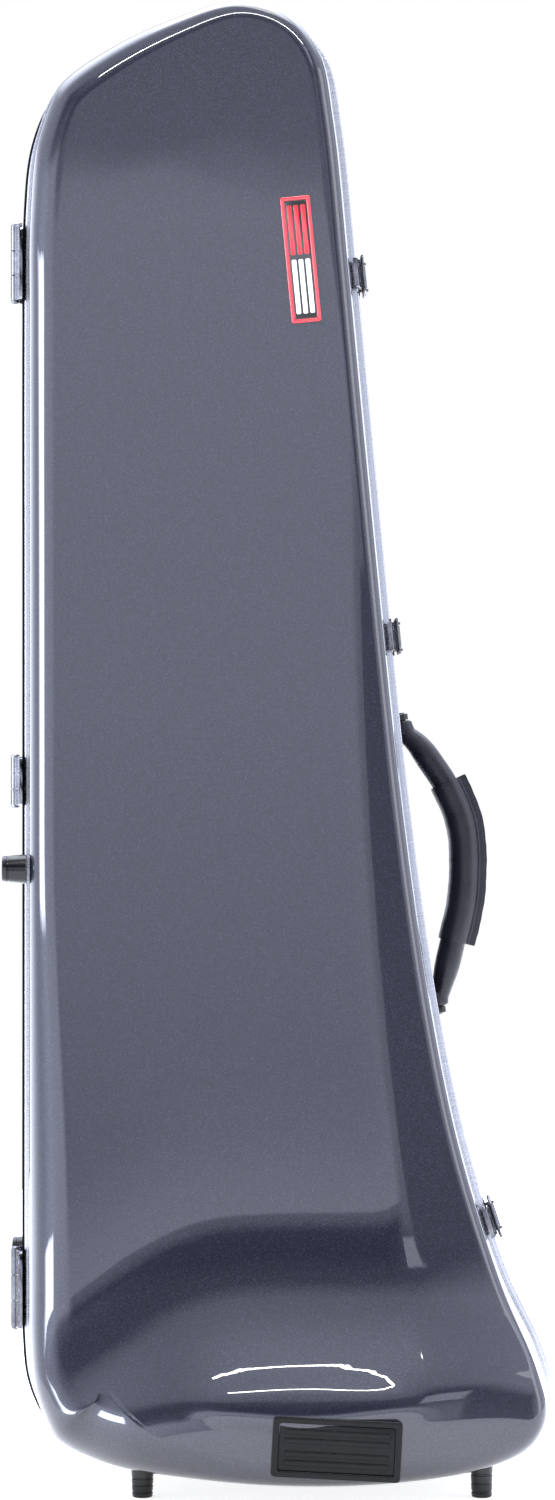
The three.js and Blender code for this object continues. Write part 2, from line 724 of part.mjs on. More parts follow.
const BUMPER = { x: 36, z: 39.5, width: 79, height: 37, tilt: 0.052, proud: 4, border: 4 };
{
  const surface = -faceDepth(LID, BUMPER.x, BUMPER.z + 20);
  const front = surface - BUMPER.proud;
  const place = new THREE.Matrix4().makeRotationY(-BUMPER.tilt)
    .setPosition(BUMPER.x, 0, BUMPER.z);
  const centred = (width, height, y) =>
    block([-width / 2, width / 2], y, [-height / 2, height / 2]);
  const innerWidth = BUMPER.width - 2 * BUMPER.border;
  const innerHeight = BUMPER.height - 2 * BUMPER.border;
  const seat = front + 2.4;
  const frame = cut(
    toSolid(centred(BUMPER.width, BUMPER.height, [front, surface + 30])),
    centred(innerWidth, innerHeight, [front - 1, seat]),
  );
  const ribs = [-9.5, -4, 4, 9.5].map((z) =>
    block([-innerWidth / 2 + 3, innerWidth / 2 - 3], [front + 0.3, front + 1.4],
      [z - 1.8, z + 1.8]));
  const pad = join(
    centred(innerWidth - 2 * GAP, innerHeight - 2 * GAP, [front + 1.2, seat - GAP]), ...ribs);
  add(part, 'bumper_frame',
    toGeometry(toSolid(toGeometry(frame).applyMatrix4(place)).subtract(grownLid)), RUBBER);
  add(part, 'bumper_pad', toGeometry(pad).applyMatrix4(place), RUBBER);
}

// ---------- badge ----------

const BADGE = { x: 14.5, z: 771, width: 18.6, height: 79, tilt: 0.096, border: 2.2 };
{
  const place = new THREE.Group();
  place.position.set(BADGE.x, -faceDepth(LID, BADGE.x, BADGE.z) - GAP, BADGE.z);
  const lean = (LID.depthAtBottom - LID.depthAtTop) / CASE_HEIGHT;
  place.rotation.set(-lean, -BADGE.tilt, 0, 'YXZ');
  part.add(place);
  const centred = (width, height, y) =>
    block([-width / 2, width / 2], y, [-height / 2, height / 2]);
  const innerWidth = BADGE.width - 2 * BADGE.border;
  const innerHeight = BADGE.height - 2 * BADGE.border;
  add(place, 'badge_frame', toGeometry(cut(
    toSolid(centred(BADGE.width, BADGE.height, [-2, 0])),
    centred(innerWidth, innerHeight, [-3, -1]),
  )), BADGE_RED);
  add(place, 'badge_inlay',
    centred(innerWidth - 2 * GAP, innerHeight - 2 * GAP, [-1.8, -1.1]), BADGE_BLACK);
}

// ---------- origin at the middle of the box's bottom ----------

part.updateMatrixWorld(true);
const box = new THREE.Box3().setFromObject(part, true);
const middle = box.getCenter(new THREE.Vector3());
part.position.set(-middle.x, -middle.y, -box.min.z);

export default part;
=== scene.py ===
"""The looks of a hard-shell tenor trombone case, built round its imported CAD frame.

The shape code works in millimetres in the case's own axes: x towards the handle side, y back from
the parting plane, z up. place() turns that into the frame's metres.
"""
import json
import math

import bmesh
import bpy
import numpy as np
from mathutils import Matrix, Vector

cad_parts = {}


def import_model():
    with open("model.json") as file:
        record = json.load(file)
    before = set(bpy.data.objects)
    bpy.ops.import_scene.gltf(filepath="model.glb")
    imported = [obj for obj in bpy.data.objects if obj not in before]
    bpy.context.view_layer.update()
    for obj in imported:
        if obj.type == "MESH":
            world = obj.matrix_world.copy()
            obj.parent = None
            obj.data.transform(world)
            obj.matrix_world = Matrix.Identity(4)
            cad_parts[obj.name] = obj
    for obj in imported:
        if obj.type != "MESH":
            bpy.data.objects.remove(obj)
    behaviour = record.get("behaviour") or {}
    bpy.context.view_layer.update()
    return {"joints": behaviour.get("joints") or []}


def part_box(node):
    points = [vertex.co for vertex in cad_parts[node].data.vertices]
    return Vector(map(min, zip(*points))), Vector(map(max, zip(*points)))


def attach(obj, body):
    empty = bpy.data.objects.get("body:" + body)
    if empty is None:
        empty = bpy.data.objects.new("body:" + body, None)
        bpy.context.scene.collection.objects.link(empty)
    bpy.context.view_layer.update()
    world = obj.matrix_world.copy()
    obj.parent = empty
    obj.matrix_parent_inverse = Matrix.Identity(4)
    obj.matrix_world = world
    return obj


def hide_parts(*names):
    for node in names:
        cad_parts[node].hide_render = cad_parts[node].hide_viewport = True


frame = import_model()

MM = 0.001

# ---------------------------------------------------------------- driving dimensions

OUTLINE = [
    (-112, 16.5), (-144, 32), (-159, 60), (-162.7, 90),
    (-163, 125), (-163, 320), (-163, 560), (-163, 735),
    (-162.5, 800), (-157, 852), (-142, 884), (-112, 907), (-68, 928), (-24, 940),
    (10, 930), (31, 905), (40, 862), (50, 765), (61, 649), (83, 432), (101, 304), (120, 212),
    (146, 131), (168, 84), (175, 53), (163, 29), (133, 15),
    (80, 6.5), (22, 4), (-48, 7.5),
]
CORNERS = {"bottom_left": 1, "top_left": 10, "top_right": 15, "bottom_right": 25}
OUTLINE_SMOOTHING = 5.0
ROWS = 170
COLUMNS = 60
ROW_CROWDING = 0.7
EDGE_ARC_STEPS = 12
FLANK_STEPS = 5

DRAFT = 0.08
WALL = 3.0
GAP = 0.3
CASE_HEIGHT = 940.0
FLARE = dict(onset=130.0, softness=27.0, steepness=0.86, lip=5.0, middle=40.0, reach=140.0,
             drop=120.0)
BELL_DOME = dict(x=17.0, z=66.0, half_width=80.0, half_height=19.0, height=2.6)
BULGE_CENTRE = 15.0
BULGE_BREADTH = 260.0
LID = dict(towards=-1, bottom=72.0, top=60.0, bell=128.0, facet=0.36)
BACK = dict(towards=1, bottom=90.0, top=80.0, bell=130.0, facet=0.2)
RIM = dict(near=1.0, far=6.0, proud=1.0, inward=7.0)
SHELL_SET_IN = dict(all_round=1.0, hinge_side=2.4)
RIM_SET_IN = 2.6  # of both valances on the hinge side, where the black seal shows outside them
SHELL_START = RIM["far"] + GAP
LINING_OFFSET = WALL + 0.6
LID_LINING_THICKNESS = 9.0

HINGE_AXIS_X = -167.6
HINGE_SPANS = {"upper": (752, 800), "middle": (429.5, 460.5), "lower": (96, 146)}
HINGE_SIDE_X = -163.0
HINGE_STRAP_X = HINGE_AXIS_X + 1.4  # where the leaves meet their knuckles

BELL = dict(x=36.0, rim_radius=110.0, rim_bottom=32.0, rim_top=46.0, neck=18.0, fade=55.0,
            top=600.0)
SLIDE_WELL = dict(x=(-140, -70), z=(120, 840), depth=45)
ACCESSORY_WELL = dict(x=(-40, 2), z=(670, 850), depth=50)
DOOR = dict(x=(-44, 6), z=(666, 854), front=SHELL_START + 1, thickness=3.5)

# The paths are (outward, up) points in millimetres, from the handle's upper end to its lower.
HANDLE = dict(back=58.0, tube=8.3, wrap=9.9, flap=14.9, eye_x=5.5, eye_span=(84, 94),
              lug_span=(94.4, 98.4))
HANDLE_PATH = [
    (8, 84), (14, 76.5), (21.2, 63.3), (28.5, 48), (33.5, 30), (35, 12),
    (32.5, -11), (27.9, -31), (20.5, -51), (13.5, -69.7), (8, -84),
]
WRAP_PATH = [(27.6, 50), (33.5, 30), (35, 12), (32.5, -11), (27.9, -31), (19.7, -53)]

BUMPER = dict(x=36.0, z=39.5, width=79.0, height=37.0, tilt=0.052, proud=4.0, border=4.0)
BADGE = dict(x=14.5, z=771.0, width=18.6, height=79.0, tilt=0.096, border=2.2)

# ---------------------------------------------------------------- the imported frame


def joint_named(name):
    return next(joint for joint in frame["joints"] if joint["name"] == name)


def joint_place(name):
    """Where a joint is in the frame, in millimetres."""
    return np.array(joint_named(name)["pos_m"]) / MM


# where the case's own axes start in the frame, in millimetres
SHIFT = joint_place("lid_hinge") * (1, 1, 0) - (HINGE_AXIS_X, 0, 0)


def place(points):
    """Points in the case's millimetres, as metres in the frame."""
    return (np.asarray(points, dtype=float) + SHIFT) * MM


def node_box(node):
    """A CAD node's two corners in the case's millimetres."""
    return np.array(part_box(node)) / MM - SHIFT


# ---------------------------------------------------------------- meshes


def make_mesh(name, points, faces, material, sharp_degrees=35.0):
    """A piece from points in the case's millimetres."""
    mesh = bpy.data.meshes.new(name)
    mesh.from_pydata(place(points).tolist(), [], [tuple(int(i) for i in f) for f in faces])
    cleaner = bmesh.new()
    cleaner.from_mesh(mesh)
    bmesh.ops.remove_doubles(cleaner, verts=cleaner.verts, dist=1e-6)
    bmesh.ops.recalc_face_normals(cleaner, faces=cleaner.faces)
    cleaner.to_mesh(mesh)
    cleaner.free()
    mesh.shade_smooth()
    mesh.set_sharp_from_angle(angle=math.radians(sharp_degrees))
    piece = bpy.data.objects.new(name, mesh)
    bpy.context.scene.collection.objects.link(piece)
    mesh.materials.append(material)
    return piece


def grid_faces(rows, columns, first=0, closed=False):
    """Quads between neighbouring rows of points; closed joins each row's ends."""
    across = columns if closed else columns - 1
    a = np.arange(rows - 1)[:, None] * columns + np.arange(across)[None, :]
    b = np.arange(rows - 1)[:, None] * columns + (np.arange(across)[None, :] + 1) % columns
    quads = np.stack([a, b, b + columns, a + columns], axis=-1).reshape(-1, 4)
    return (quads + first).tolist()


def loft(name, rings, material, closed=False, sharp_degrees=35.0):
    """A skin through equal rings of points, capped, or with its last ring joined to its first."""
    rings = np.asarray(rings, dtype=float)
    count, size = rings.shape[:2]
    points = rings.reshape(-1, 3)
    faces = grid_faces(count, size, closed=True)
    if closed:
        last = (count - 1) * size
        faces += [(last + i, last + (i + 1) % size, (i + 1) % size, i) for i in range(size)]
    else:
        faces.append(tuple(range(size)))
        faces.append(tuple(range((count - 1) * size, count * size)))
    return make_mesh(name, points, faces, material, sharp_degrees)


def turned(name, profile, material, origin, axis, sides=48):
    """A round piece from (radius, height) steps, with its axis through origin."""
    axis = np.asarray(axis, dtype=float) / np.linalg.norm(axis)
    helper = np.array([0, 1, 0]) if abs(axis[1]) < 0.9 else np.array([1, 0, 0])
    first = np.cross(helper, axis)
    first /= np.linalg.norm(first)
    second = np.cross(axis, first)
    turn = np.linspace(0, 2 * math.pi, sides, endpoint=False)
    circle = np.outer(np.cos(turn), first) + np.outer(np.sin(turn), second)
    rings = [np.asarray(origin) + max(r, 1e-3) * circle + h * axis for r, h in profile]
    return loft(name, rings, material)


def round_corners(corners, radius, steps=5):
    """A flat outline whose corners are turned into arcs."""
    corners = [np.asarray(c, dtype=float) for c in corners]
    out = []
    for i, corner in enumerate(corners):
        before = corners[i - 1] - corner
        after = corners[(i + 1) % len(corners)] - corner
        reach = min(radius, np.linalg.norm(before) / 2.01, np.linalg.norm(after) / 2.01)
        start = corner + before / np.linalg.norm(before) * reach
        end = corner + after / np.linalg.norm(after) * reach
        for t in np.linspace(0, 1, steps):
            out.append((1 - t) ** 2 * start + 2 * t * (1 - t) * corner + t * t * end)
    return np.array(out)


def prism(name, outline, span, material, matrix=None, bevel=0.3, plane="xy"):
    """A flat outline drawn out between two heights, with rounded rims."""
    outline = np.asarray(outline, dtype=float)
    inner = shrink(outline, bevel)
    low, high = span
    steps = []
    for t in np.linspace(0, math.pi / 2, 4):
        steps.append((1 - math.sin(t), low + bevel * (1 - math.cos(t))))
    for t in np.linspace(math.pi / 2, 0, 4):
        steps.append((1 - math.sin(t), high - bevel * (1 - math.cos(t))))
    rings = []
    for inward, height in steps:
        flat = outline * (1 - inward) + inner * inward
        ring = np.zeros((len(flat), 3))
        if plane == "xy":
            ring[:, 0], ring[:, 1], ring[:, 2] = flat[:, 0], flat[:, 1], height
        elif plane == "xz":
            ring[:, 0], ring[:, 1], ring[:, 2] = flat[:, 0], height, flat[:, 1]
        else:
            ring[:, 0], ring[:, 1], ring[:, 2] = height, flat[:, 0], flat[:, 1]
        rings.append(transform(ring, matrix))
    return loft(name, rings, material, sharp_degrees=50)


def shrink(outline, distance):
    """An outline moved inwards by a small distance."""
    before = np.roll(outline, 1, axis=0)
    after = np.roll(outline, -1, axis=0)
    along = after - before
    length = np.linalg.norm(along, axis=1, keepdims=True)
    normal = np.stack([-along[:, 1], along[:, 0]], axis=1) / np.maximum(length, 1e-9)
    area = 0.5 * np.sum(outline[:, 0] * after[:, 1] - after[:, 0] * outline[:, 1])
    return outline + normal * distance * (1 if area > 0 else -1)


def transform(points, matrix):
    """Points through a 4 by 4 array, or as they are."""
    if matrix is None:
        return points
    return points @ matrix[:3, :3].T + matrix[:3, 3]


def in_axes(axes, x, y, z):
    """One point through a 4 by 4 array."""
    return transform(np.array([[x, y, z]]), axes)[0]


def at_depth(flat, y):
    """Flat x, z points as points in space, at a depth y."""
    return np.stack([flat[:, 0], np.broadcast_to(y, (len(flat),)), flat[:, 1]], axis=1)


def joined(name, pieces):
    """One piece from several."""
    for piece in bpy.context.selected_objects:
        piece.select_set(False)
    for piece in pieces:
        piece.select_set(True)
    bpy.context.view_layer.objects.active = pieces[0]
    bpy.ops.object.join()
    whole = bpy.context.view_layer.objects.active
    whole.name = name
    whole.select_set(False)
    return whole


# ---------------------------------------------------------------- the outline


def catmull_rom(points, steps):
    """A closed centripetal curve through points, with its place counted in points."""
    points = np.asarray(points, dtype=float)
    count = len(points)
    out = []
    for i in range(count):
        p0, p1, p2, p3 = (points[(i + k) % count] for k in (-1, 0, 1, 2))
        d0, d1, d2 = (np.linalg.norm(b - a) ** 0.5 for a, b in ((p0, p1), (p1, p2), (p2, p3)))
        t1 = ((p1 - p0) / d0 - (p2 - p0) / (d0 + d1) + (p2 - p1) / d1) * d1
        t2 = ((p2 - p1) / d1 - (p3 - p1) / (d1 + d2) + (p3 - p2) / d2) * d1
        for t in np.arange(steps) / steps:
            out.append(p1 + t1 * t + (3 * (p2 - p1) - 2 * t1 - t2) * t * t
                       + (2 * (p1 - p2) + t1 + t2) * t ** 3)
    return np.array(out)


def even_steps(points, count):
    """A closed line cut into equal steps; also gives each old point's place on it."""
    closed = np.vstack([points, points[:1]])
    length = np.concatenate([[0], np.cumsum(np.linalg.norm(np.diff(closed, axis=0), axis=1))])
    want = np.arange(count) / count * length[-1]
    even = np.stack([np.interp(want, length, closed[:, k]) for k in (0, 1)], axis=1)
    return even, length[:-1] / length[-1], length[-1]


def smooth_round(values, sigma):
    """A closed list of values smoothed by a bell-shaped average."""
    reach = int(4 * sigma)
    weights = np.exp(-0.5 * (np.arange(-reach, reach + 1) / sigma) ** 2)
    weights /= weights.sum()
    return sum(w * np.roll(values, k, axis=0) for w, k in zip(weights, range(-reach, reach + 1)))


class Outline:
    """The case's outline as a smooth closed line, with points and outward directions."""

    def __init__(self):
        steps = 40
        rough = catmull_rom(OUTLINE, steps)
        even, places, length = even_steps(rough, 4000)
        self.points = smooth_round(even, OUTLINE_SMOOTHING / (length / 4000))
        along = np.roll(self.points, -1, axis=0) - np.roll(self.points, 1, axis=0)
        along /= np.linalg.norm(along, axis=1, keepdims=True)
        self.out = np.stack([-along[:, 1], along[:, 0]], axis=1)
        self.corner = {name: places[i * steps] for name, i in CORNERS.items()}

    def at(self, places):
        """Points and outward directions at places from 0 to 1 round the outline."""
        places = np.asarray(places, dtype=float) % 1
        index = np.arange(len(self.points) + 1) / len(self.points)
        wrap = lambda v: np.vstack([v, v[:1]])
        point = np.stack(
            [np.interp(places, index, wrap(self.points)[:, k]) for k in (0, 1)], axis=1)
        out = np.stack([np.interp(places, index, wrap(self.out)[:, k]) for k in (0, 1)], axis=1)
        return point, out / np.linalg.norm(out, axis=1, keepdims=True)

    def long_side(self, start, end, rows):
        """Places up or down a side, crowded at both ends by height."""
        places = np.linspace(start, end, 1200)
        height = self.at(places)[0][:, 1]
        t = np.arange(rows) / rows
        crowded = t - ROW_CROWDING * np.sin(2 * math.pi * t) / (2 * math.pi)
        want = height[0] + (height[-1] - height[0]) * crowded
        order = 1 if height[-1] > height[0] else -1
        return np.interp(want * order, height * order, places)

    def loop(self, rows, columns):
        """Once round the outline from the bottom left corner, in four sides."""
        c = self.corner
        short = lambda a, b: np.linspace(a, b, columns, endpoint=False)
        places = np.concatenate([
            self.long_side(c["bottom_left"], c["top_left"], rows),
            short(c["top_left"], c["top_right"]),
            self.long_side(c["top_right"], c["bottom_right"], rows),
            short(c["bottom_right"], 1 + c["bottom_left"]),
        ])
        return self.at(places)


outline = Outline()

# ---------------------------------------------------------------- the shells' shape


def smoothstep(start, end, value):
    t = np.clip((np.asarray(value, dtype=float) - start) / (end - start), 0, 1)
    return t * t * (3 - 2 * t)


def swelling(room, x, z):
    """How far the face swells out of its plane, when it may swell by room at most."""
    aside = ((x - FLARE["middle"]) / FLARE["reach"]) ** 4
    onset = FLARE["onset"] - FLARE["drop"] * aside / (3 + aside)
    width = FLARE["softness"]
    climb = FLARE["steepness"] * width * np.logaddexp(0, (onset - z) / width)
    return -FLARE["lip"] * np.logaddexp(-climb / FLARE["lip"], -room / FLARE["lip"])


def crease_x(z):
    below = np.maximum(1 - z / 624, 0)
    return 45 + 58 * below * below


def plain_face_depth(half, x, z):
    plain = half["bottom"] + (half["top"] - half["bottom"]) * z / CASE_HEIGHT
    dome = 1 - ((x - BULGE_CENTRE) / BULGE_BREADTH) ** 2
    softness = 3.0
    past = softness * np.logaddexp(0, (x - crease_x(z)) / softness)
    room = (half["bell"] - plain) * dome
    swell = swelling(room, x, z)
    return plain + swell - half["facet"] * past * (1 - 0.6 * swell / room)


def bell_dome(x, z):
    """A low oval swelling over the bell, in the lid's face."""
    away = ((x - BELL_DOME["x"]) / BELL_DOME["half_width"]) ** 2
    away = away + ((z - BELL_DOME["z"]) / BELL_DOME["half_height"]) ** 2
    return BELL_DOME["height"] * smoothstep(1.0, 0.1, away)


def face_depth(half, x, z):
    dome = bell_dome(x, z) if half is LID else 0
    return plain_face_depth(half, x, z) + dome


def edge_radius(x, z):
    hinge_side = smoothstep(0, -140, x)
    return 11 + hinge_side * (8 + 12 * smoothstep(420, 140, z)) + 5 * smoothstep(90, 20, z)


def edge_profile(half, point, out, offset, start):
    """Insets and depths from the parting plane up one flank and round its edge."""
    def depth_at(inset):
        spot = point - out * inset[:, None]
        return face_depth(half, spot[:, 0], spot[:, 1]) - offset
    radius = np.maximum(edge_radius(point[:, 0], point[:, 1]) - offset, 4)
    near = radius + offset + 2
    slope = (depth_at(near + 8) - depth_at(near)) / 8
    level = depth_at(near) - slope * near
    corner = (level + slope * offset) / (1 - slope * DRAFT)
    flank = math.atan2(1, DRAFT)
    face = np.arctan2(slope, 1)
    reach = radius * np.tan((flank - face) / 2)
    foot_inset = offset + DRAFT * corner - reach * math.cos(flank)
    foot_depth = corner - reach * math.sin(flank)
    centre_inset = foot_inset + radius * math.sin(flank)
    centre_depth = foot_depth - radius * math.cos(flank)
    steps = []
    for t in np.linspace(0, 1, FLANK_STEPS, endpoint=False):
        depth = start + (foot_depth - start) * t
        steps.append((offset + DRAFT * depth, depth))
    for t in np.linspace(0, 1, EDGE_ARC_STEPS + 1):
        angle = flank + (face - flank) * t
        steps.append((centre_inset - radius * np.sin(angle),
                      centre_depth + radius * np.cos(angle)))
    return steps


def fill_grid(loop, rows, columns):
    """The inside of a closed loop, blended between its four sides: [column, row, xyz]."""
    total = 2 * (rows + columns)
    left = loop[np.arange(rows + 1)]
    top = loop[rows + np.arange(columns + 1)]
    right = loop[2 * rows + columns - np.arange(rows + 1)]
    bottom = loop[(total - np.arange(columns + 1)) % total]
    u = (np.arange(columns + 1) / columns)[:, None, None]
    v = (np.arange(rows + 1) / rows)[None, :, None]
    return ((1 - u) * left[None] + u * right[None]
            + (1 - v) * bottom[:, None] + v * top[:, None]
            - (1 - u) * (1 - v) * left[0] - u * (1 - v) * right[0]
            - (1 - u) * v * left[rows] - u * v * right[rows])


def hinge_side(point):
    """1 along the hinge side of the outline, falling to 0 round its corners."""
    return smoothstep(-140, -156, point[:, 0])


def skin(half, offset, start, rows=ROWS, columns=COLUMNS, set_in=False):
    """One skin of a half: its points, its faces, and the size of its first ring."""
    point, out = outline.loop(rows, columns)
    if set_in:
        depth = SHELL_SET_IN["all_round"] + SHELL_SET_IN["hinge_side"] * hinge_side(point)
        point = point - out * depth[:, None]
    rings = []
    for inset, depth in edge_profile(half, point, out, offset, start):
        inset = np.broadcast_to(inset, (len(point),))
        rings.append(at_depth(point - out * inset[:, None], half["towards"] * depth))
    grid = fill_grid(rings[-1], rows, columns)
    grid[..., 1] = half["towards"] * (face_depth(half, grid[..., 0], grid[..., 2]) - offset)
    count = len(point)
    points = np.vstack(rings + [grid.reshape(-1, 3)])
    faces = grid_faces(len(rings), count, closed=True)
    faces += grid_faces(columns + 1, rows + 1, first=len(rings) * count)
    # the grid's own border repeats the last ring, so the two are merged by place
    border = fill_border(rows, columns) + len(rings) * count
    points[border] = rings[-1]
    return points, faces, count


def fill_border(rows, columns):
    """The grid's border points, in the loop's order."""
    index = np.arange((columns + 1) * (rows + 1)).reshape(columns + 1, rows + 1)
    return np.concatenate([
        index[0, :-1], index[:-1, -1], index[-1, :0:-1], index[:0:-1, 0]])


def two_skins(name, half, outer_offset, inner_offset, material, set_in=False):
    """A shell between two skins, closed along its edge."""
    outer, outer_faces, count = skin(half, outer_offset, SHELL_START, set_in=set_in)
    inner, inner_faces, _ = skin(half, inner_offset, SHELL_START, set_in=set_in)
    shift = len(outer)
    faces = outer_faces + [tuple(i + shift for i in f) for f in inner_faces]
    faces += [(k, (k + 1) % count, shift + (k + 1) % count, shift + k) for k in range(count)]
    return make_mesh(name, np.vstack([outer, inner]), faces, material, sharp_degrees=40)


def outline_band(name, section, material, set_in=0.0):
    """A closed band round the outline, from (inset, y) section points.

    set_in moves it inwards along the hinge side.
    """
    point, out = outline.loop(ROWS, COLUMNS)
    point = point - out * (set_in * hinge_side(point))[:, None]
    rings = []
    for inset, y in section:
        rings.append(at_depth(point - out * inset, y))
    return loft(name, rings, material, closed=True, sharp_degrees=40)


# ---------------------------------------------------------------- materials


class Nodes:
    """A short way to write the node tree of a material or of the world."""

    def __init__(self, owner):
        owner.use_nodes = True
        self.tree = owner.node_tree

    def add(self, kind, inputs=None, **settings):
        node = self.tree.nodes.new(kind)
        for key, value in settings.items():
            setattr(node, key, value)
        for key, value in (inputs or {}).items():
            self.set(node, key, value)
        return node

    def set(self, node, key, value):
        if isinstance(value, bpy.types.NodeSocket):
            self.tree.links.new(value, node.inputs[key])
        else:
            node.inputs[key].default_value = value

    def position(self, scale=(1, 1, 1), rotation=(0, 0, 0)):
        """Places on the piece in metres, scaled."""
        where = self.add("ShaderNodeTexCoord").outputs["Object"]
        mapping = self.add("ShaderNodeMapping", {"Vector": where, "Scale": scale,
                                                 "Rotation": rotation})
        return mapping.outputs["Vector"]

    def noise(self, scale, detail=3.0, roughness=0.5, vector=None):
        return self.add("ShaderNodeTexNoise", {
            "Vector": vector or self.position(), "Scale": scale, "Detail": detail,
            "Roughness": roughness}).outputs["Fac"]

    def ramp(self, value, stops):
        node = self.add("ShaderNodeValToRGB", {"Fac": value})
        ramp = node.color_ramp
        while len(ramp.elements) < len(stops):
            ramp.elements.new(0.5)
        for element, (position, colour) in zip(ramp.elements, stops):
            element.position = position
            element.color = (*colour, 1)
        return node.outputs["Color"]

    def bands(self, level, stops):
        """Greys set at levels from -0.5 to 1, some brighter than white."""
        brightest = max(value for _, value in stops)
        place = self.add("ShaderNodeMapRange", {
            "Value": level, "From Min": -0.5, "From Max": 1.0}).outputs[0]
        colour = self.ramp(place, [((at + 0.5) / 1.5, grey(value / brightest))
                                   for at, value in stops])
        scaled = self.add("ShaderNodeVectorMath", {0: colour, 3: brightest}, operation="SCALE")
        return scaled.outputs[0]

    def mix(self, factor, a, b, blend="MIX"):
        node = self.add("ShaderNodeMix", data_type="RGBA", blend_type=blend)
        for socket, value in ((node.inputs[0], factor), (node.inputs[6], a), (node.inputs[7], b)):
            if isinstance(value, bpy.types.NodeSocket):
                self.tree.links.new(value, socket)
            else:
                socket.default_value = value if isinstance(value, (int, float)) else (*value, 1)
        return node.outputs[2]

    def math(self, operation, a, b=0.0):
        node = self.add("ShaderNodeMath", operation=operation)
        self.set(node, 0, a)
        self.set(node, 1, b)
        return node.outputs[0]

    def between(self, value, low, high, soft):
        """1 where a value is between two limits, falling to 0 outside them."""
        above = self.add("ShaderNodeMapRange", {
            "Value": value, "From Min": low - soft, "From Max": low})
        below = self.add("ShaderNodeMapRange", {
            "Value": value, "From Min": high + soft, "From Max": high})
        return self.math("MULTIPLY", above.outputs[0], below.outputs[0])

    def bump(self, height, strength, distance, normal=None):
        inputs = {"Height": height, "Strength": strength, "Distance": distance}
        if normal is not None:
            inputs["Normal"] = normal
        return self.add("ShaderNodeBump", inputs).outputs["Normal"]


class Material(Nodes):
    """A new material and its shader."""

    def __init__(self, name):
        self.material = bpy.data.materials.new(name)
        super().__init__(self.material)
        self.shader = self.tree.nodes["Principled BSDF"]

    def principled(self, **inputs):
        for key, value in inputs.items():
            self.set(self.shader, key.replace("_", " "), value)


def grey(value):
    return (value, value, value)


def gel_coat():
    """Graphite paint with fine metal flake, under a clear, very smooth coat."""
    n = Material("graphite_gel_coat")
    cells = n.add("ShaderNodeTexVoronoi", {"Vector": n.position(), "Scale": 2600.0})
    flake = n.add("ShaderNodeSeparateColor", {"Color": cells.outputs["Color"]}).outputs["Red"]
    colour = n.ramp(flake, [(0.0, (0.0065, 0.0070, 0.0135)), (0.75, (0.011, 0.012, 0.022)),
                            (1.0, (0.036, 0.038, 0.060))])
    cloud = n.noise(6.0, detail=2.0)
    colour = n.mix(n.math("MULTIPLY", cloud, 0.25), colour, (0.010, 0.012, 0.019))
    wave = n.bump(n.noise(16.0, detail=1.0), 0.05, 0.002)
    n.principled(Base_Color=colour, Metallic=0.4, Roughness=0.36, Specular_IOR_Level=0.2)
    n.principled(Coat_Weight=1.0, Coat_Roughness=0.02, Coat_IOR=1.55)
    n.set(n.shader, "Coat Normal", wave)
    return n.material


def satin_aluminium():
    n = Material("satin_aluminium")
    streak = n.noise(60.0, detail=4.0, vector=n.position((1, 1, 40)))
    colour = n.ramp(streak, [(0.3, (0.32, 0.33, 0.36)), (0.7, (0.43, 0.44, 0.48))])
    rough = n.ramp(streak, [(0.3, grey(0.22)), (0.7, grey(0.34))])
    n.principled(Base_Color=colour, Metallic=1.0, Roughness=rough)
    return n.material


def plated_metal():
    n = Material("nickel_plate")
    wear = n.noise(180.0, detail=5.0)
    colour = n.ramp(wear, [(0.3, (0.085, 0.087, 0.098)), (0.75, (0.16, 0.163, 0.178))])
    rough = n.ramp(n.noise(400.0, detail=3.0), [(0.35, grey(0.10)), (0.8, grey(0.20))])
    n.principled(Base_Color=colour, Metallic=1.0, Roughness=rough)
    return n.material


def black_metal():
    n = Material("black_enamel")
    speck = n.noise(900.0, detail=2.0)
    colour = n.ramp(speck, [(0.3, grey(0.005)), (0.8, grey(0.014))])
    n.principled(Base_Color=colour, Metallic=0.3, Roughness=0.32,
                 Normal=n.bump(speck, 0.15, 0.0002))
    return n.material


def rubber(name="moulded_rubber", low=0.004, high=0.011, roughness=0.5, specular=0.5):
    n = Material(name)
    grain = n.noise(1400.0, detail=3.0)
    dust = n.noise(40.0, detail=4.0)
    colour = n.ramp(dust, [(0.35, grey(low)), (0.8, grey(high))])
    rough = n.ramp(dust, [(0.3, grey(roughness - 0.08)), (0.8, grey(roughness + 0.1))])
    n.principled(Base_Color=colour, Roughness=rough, Normal=n.bump(grain, 0.25, 0.0002),
                 Specular_IOR_Level=specular)
    return n.material


def leather():
    """Smooth black leather: fine pebbling and a few long creases."""
    n = Material("black_leather")
    cells = n.add("ShaderNodeTexVoronoi", {"Vector": n.position(), "Scale": 900.0},
                  feature="DISTANCE_TO_EDGE").outputs["Distance"]
    pebble = n.ramp(cells, [(0.0, grey(0.0)), (0.12, grey(0.8)), (1.0, grey(1.0))])
    crease = n.noise(70.0, detail=5.0, roughness=0.6)
    fine = n.bump(pebble, 0.22, 0.0003)
    both = n.bump(crease, 0.35, 0.0012, normal=fine)
    colour = n.ramp(crease, [(0.3, (0.003, 0.003, 0.007)), (0.8, (0.008, 0.008, 0.016))])
    rough = n.ramp(crease, [(0.3, grey(0.25)), (0.75, grey(0.38))])
    n.principled(Base_Color=colour, Roughness=rough, Normal=both, Specular_IOR_Level=0.34)
    return n.material


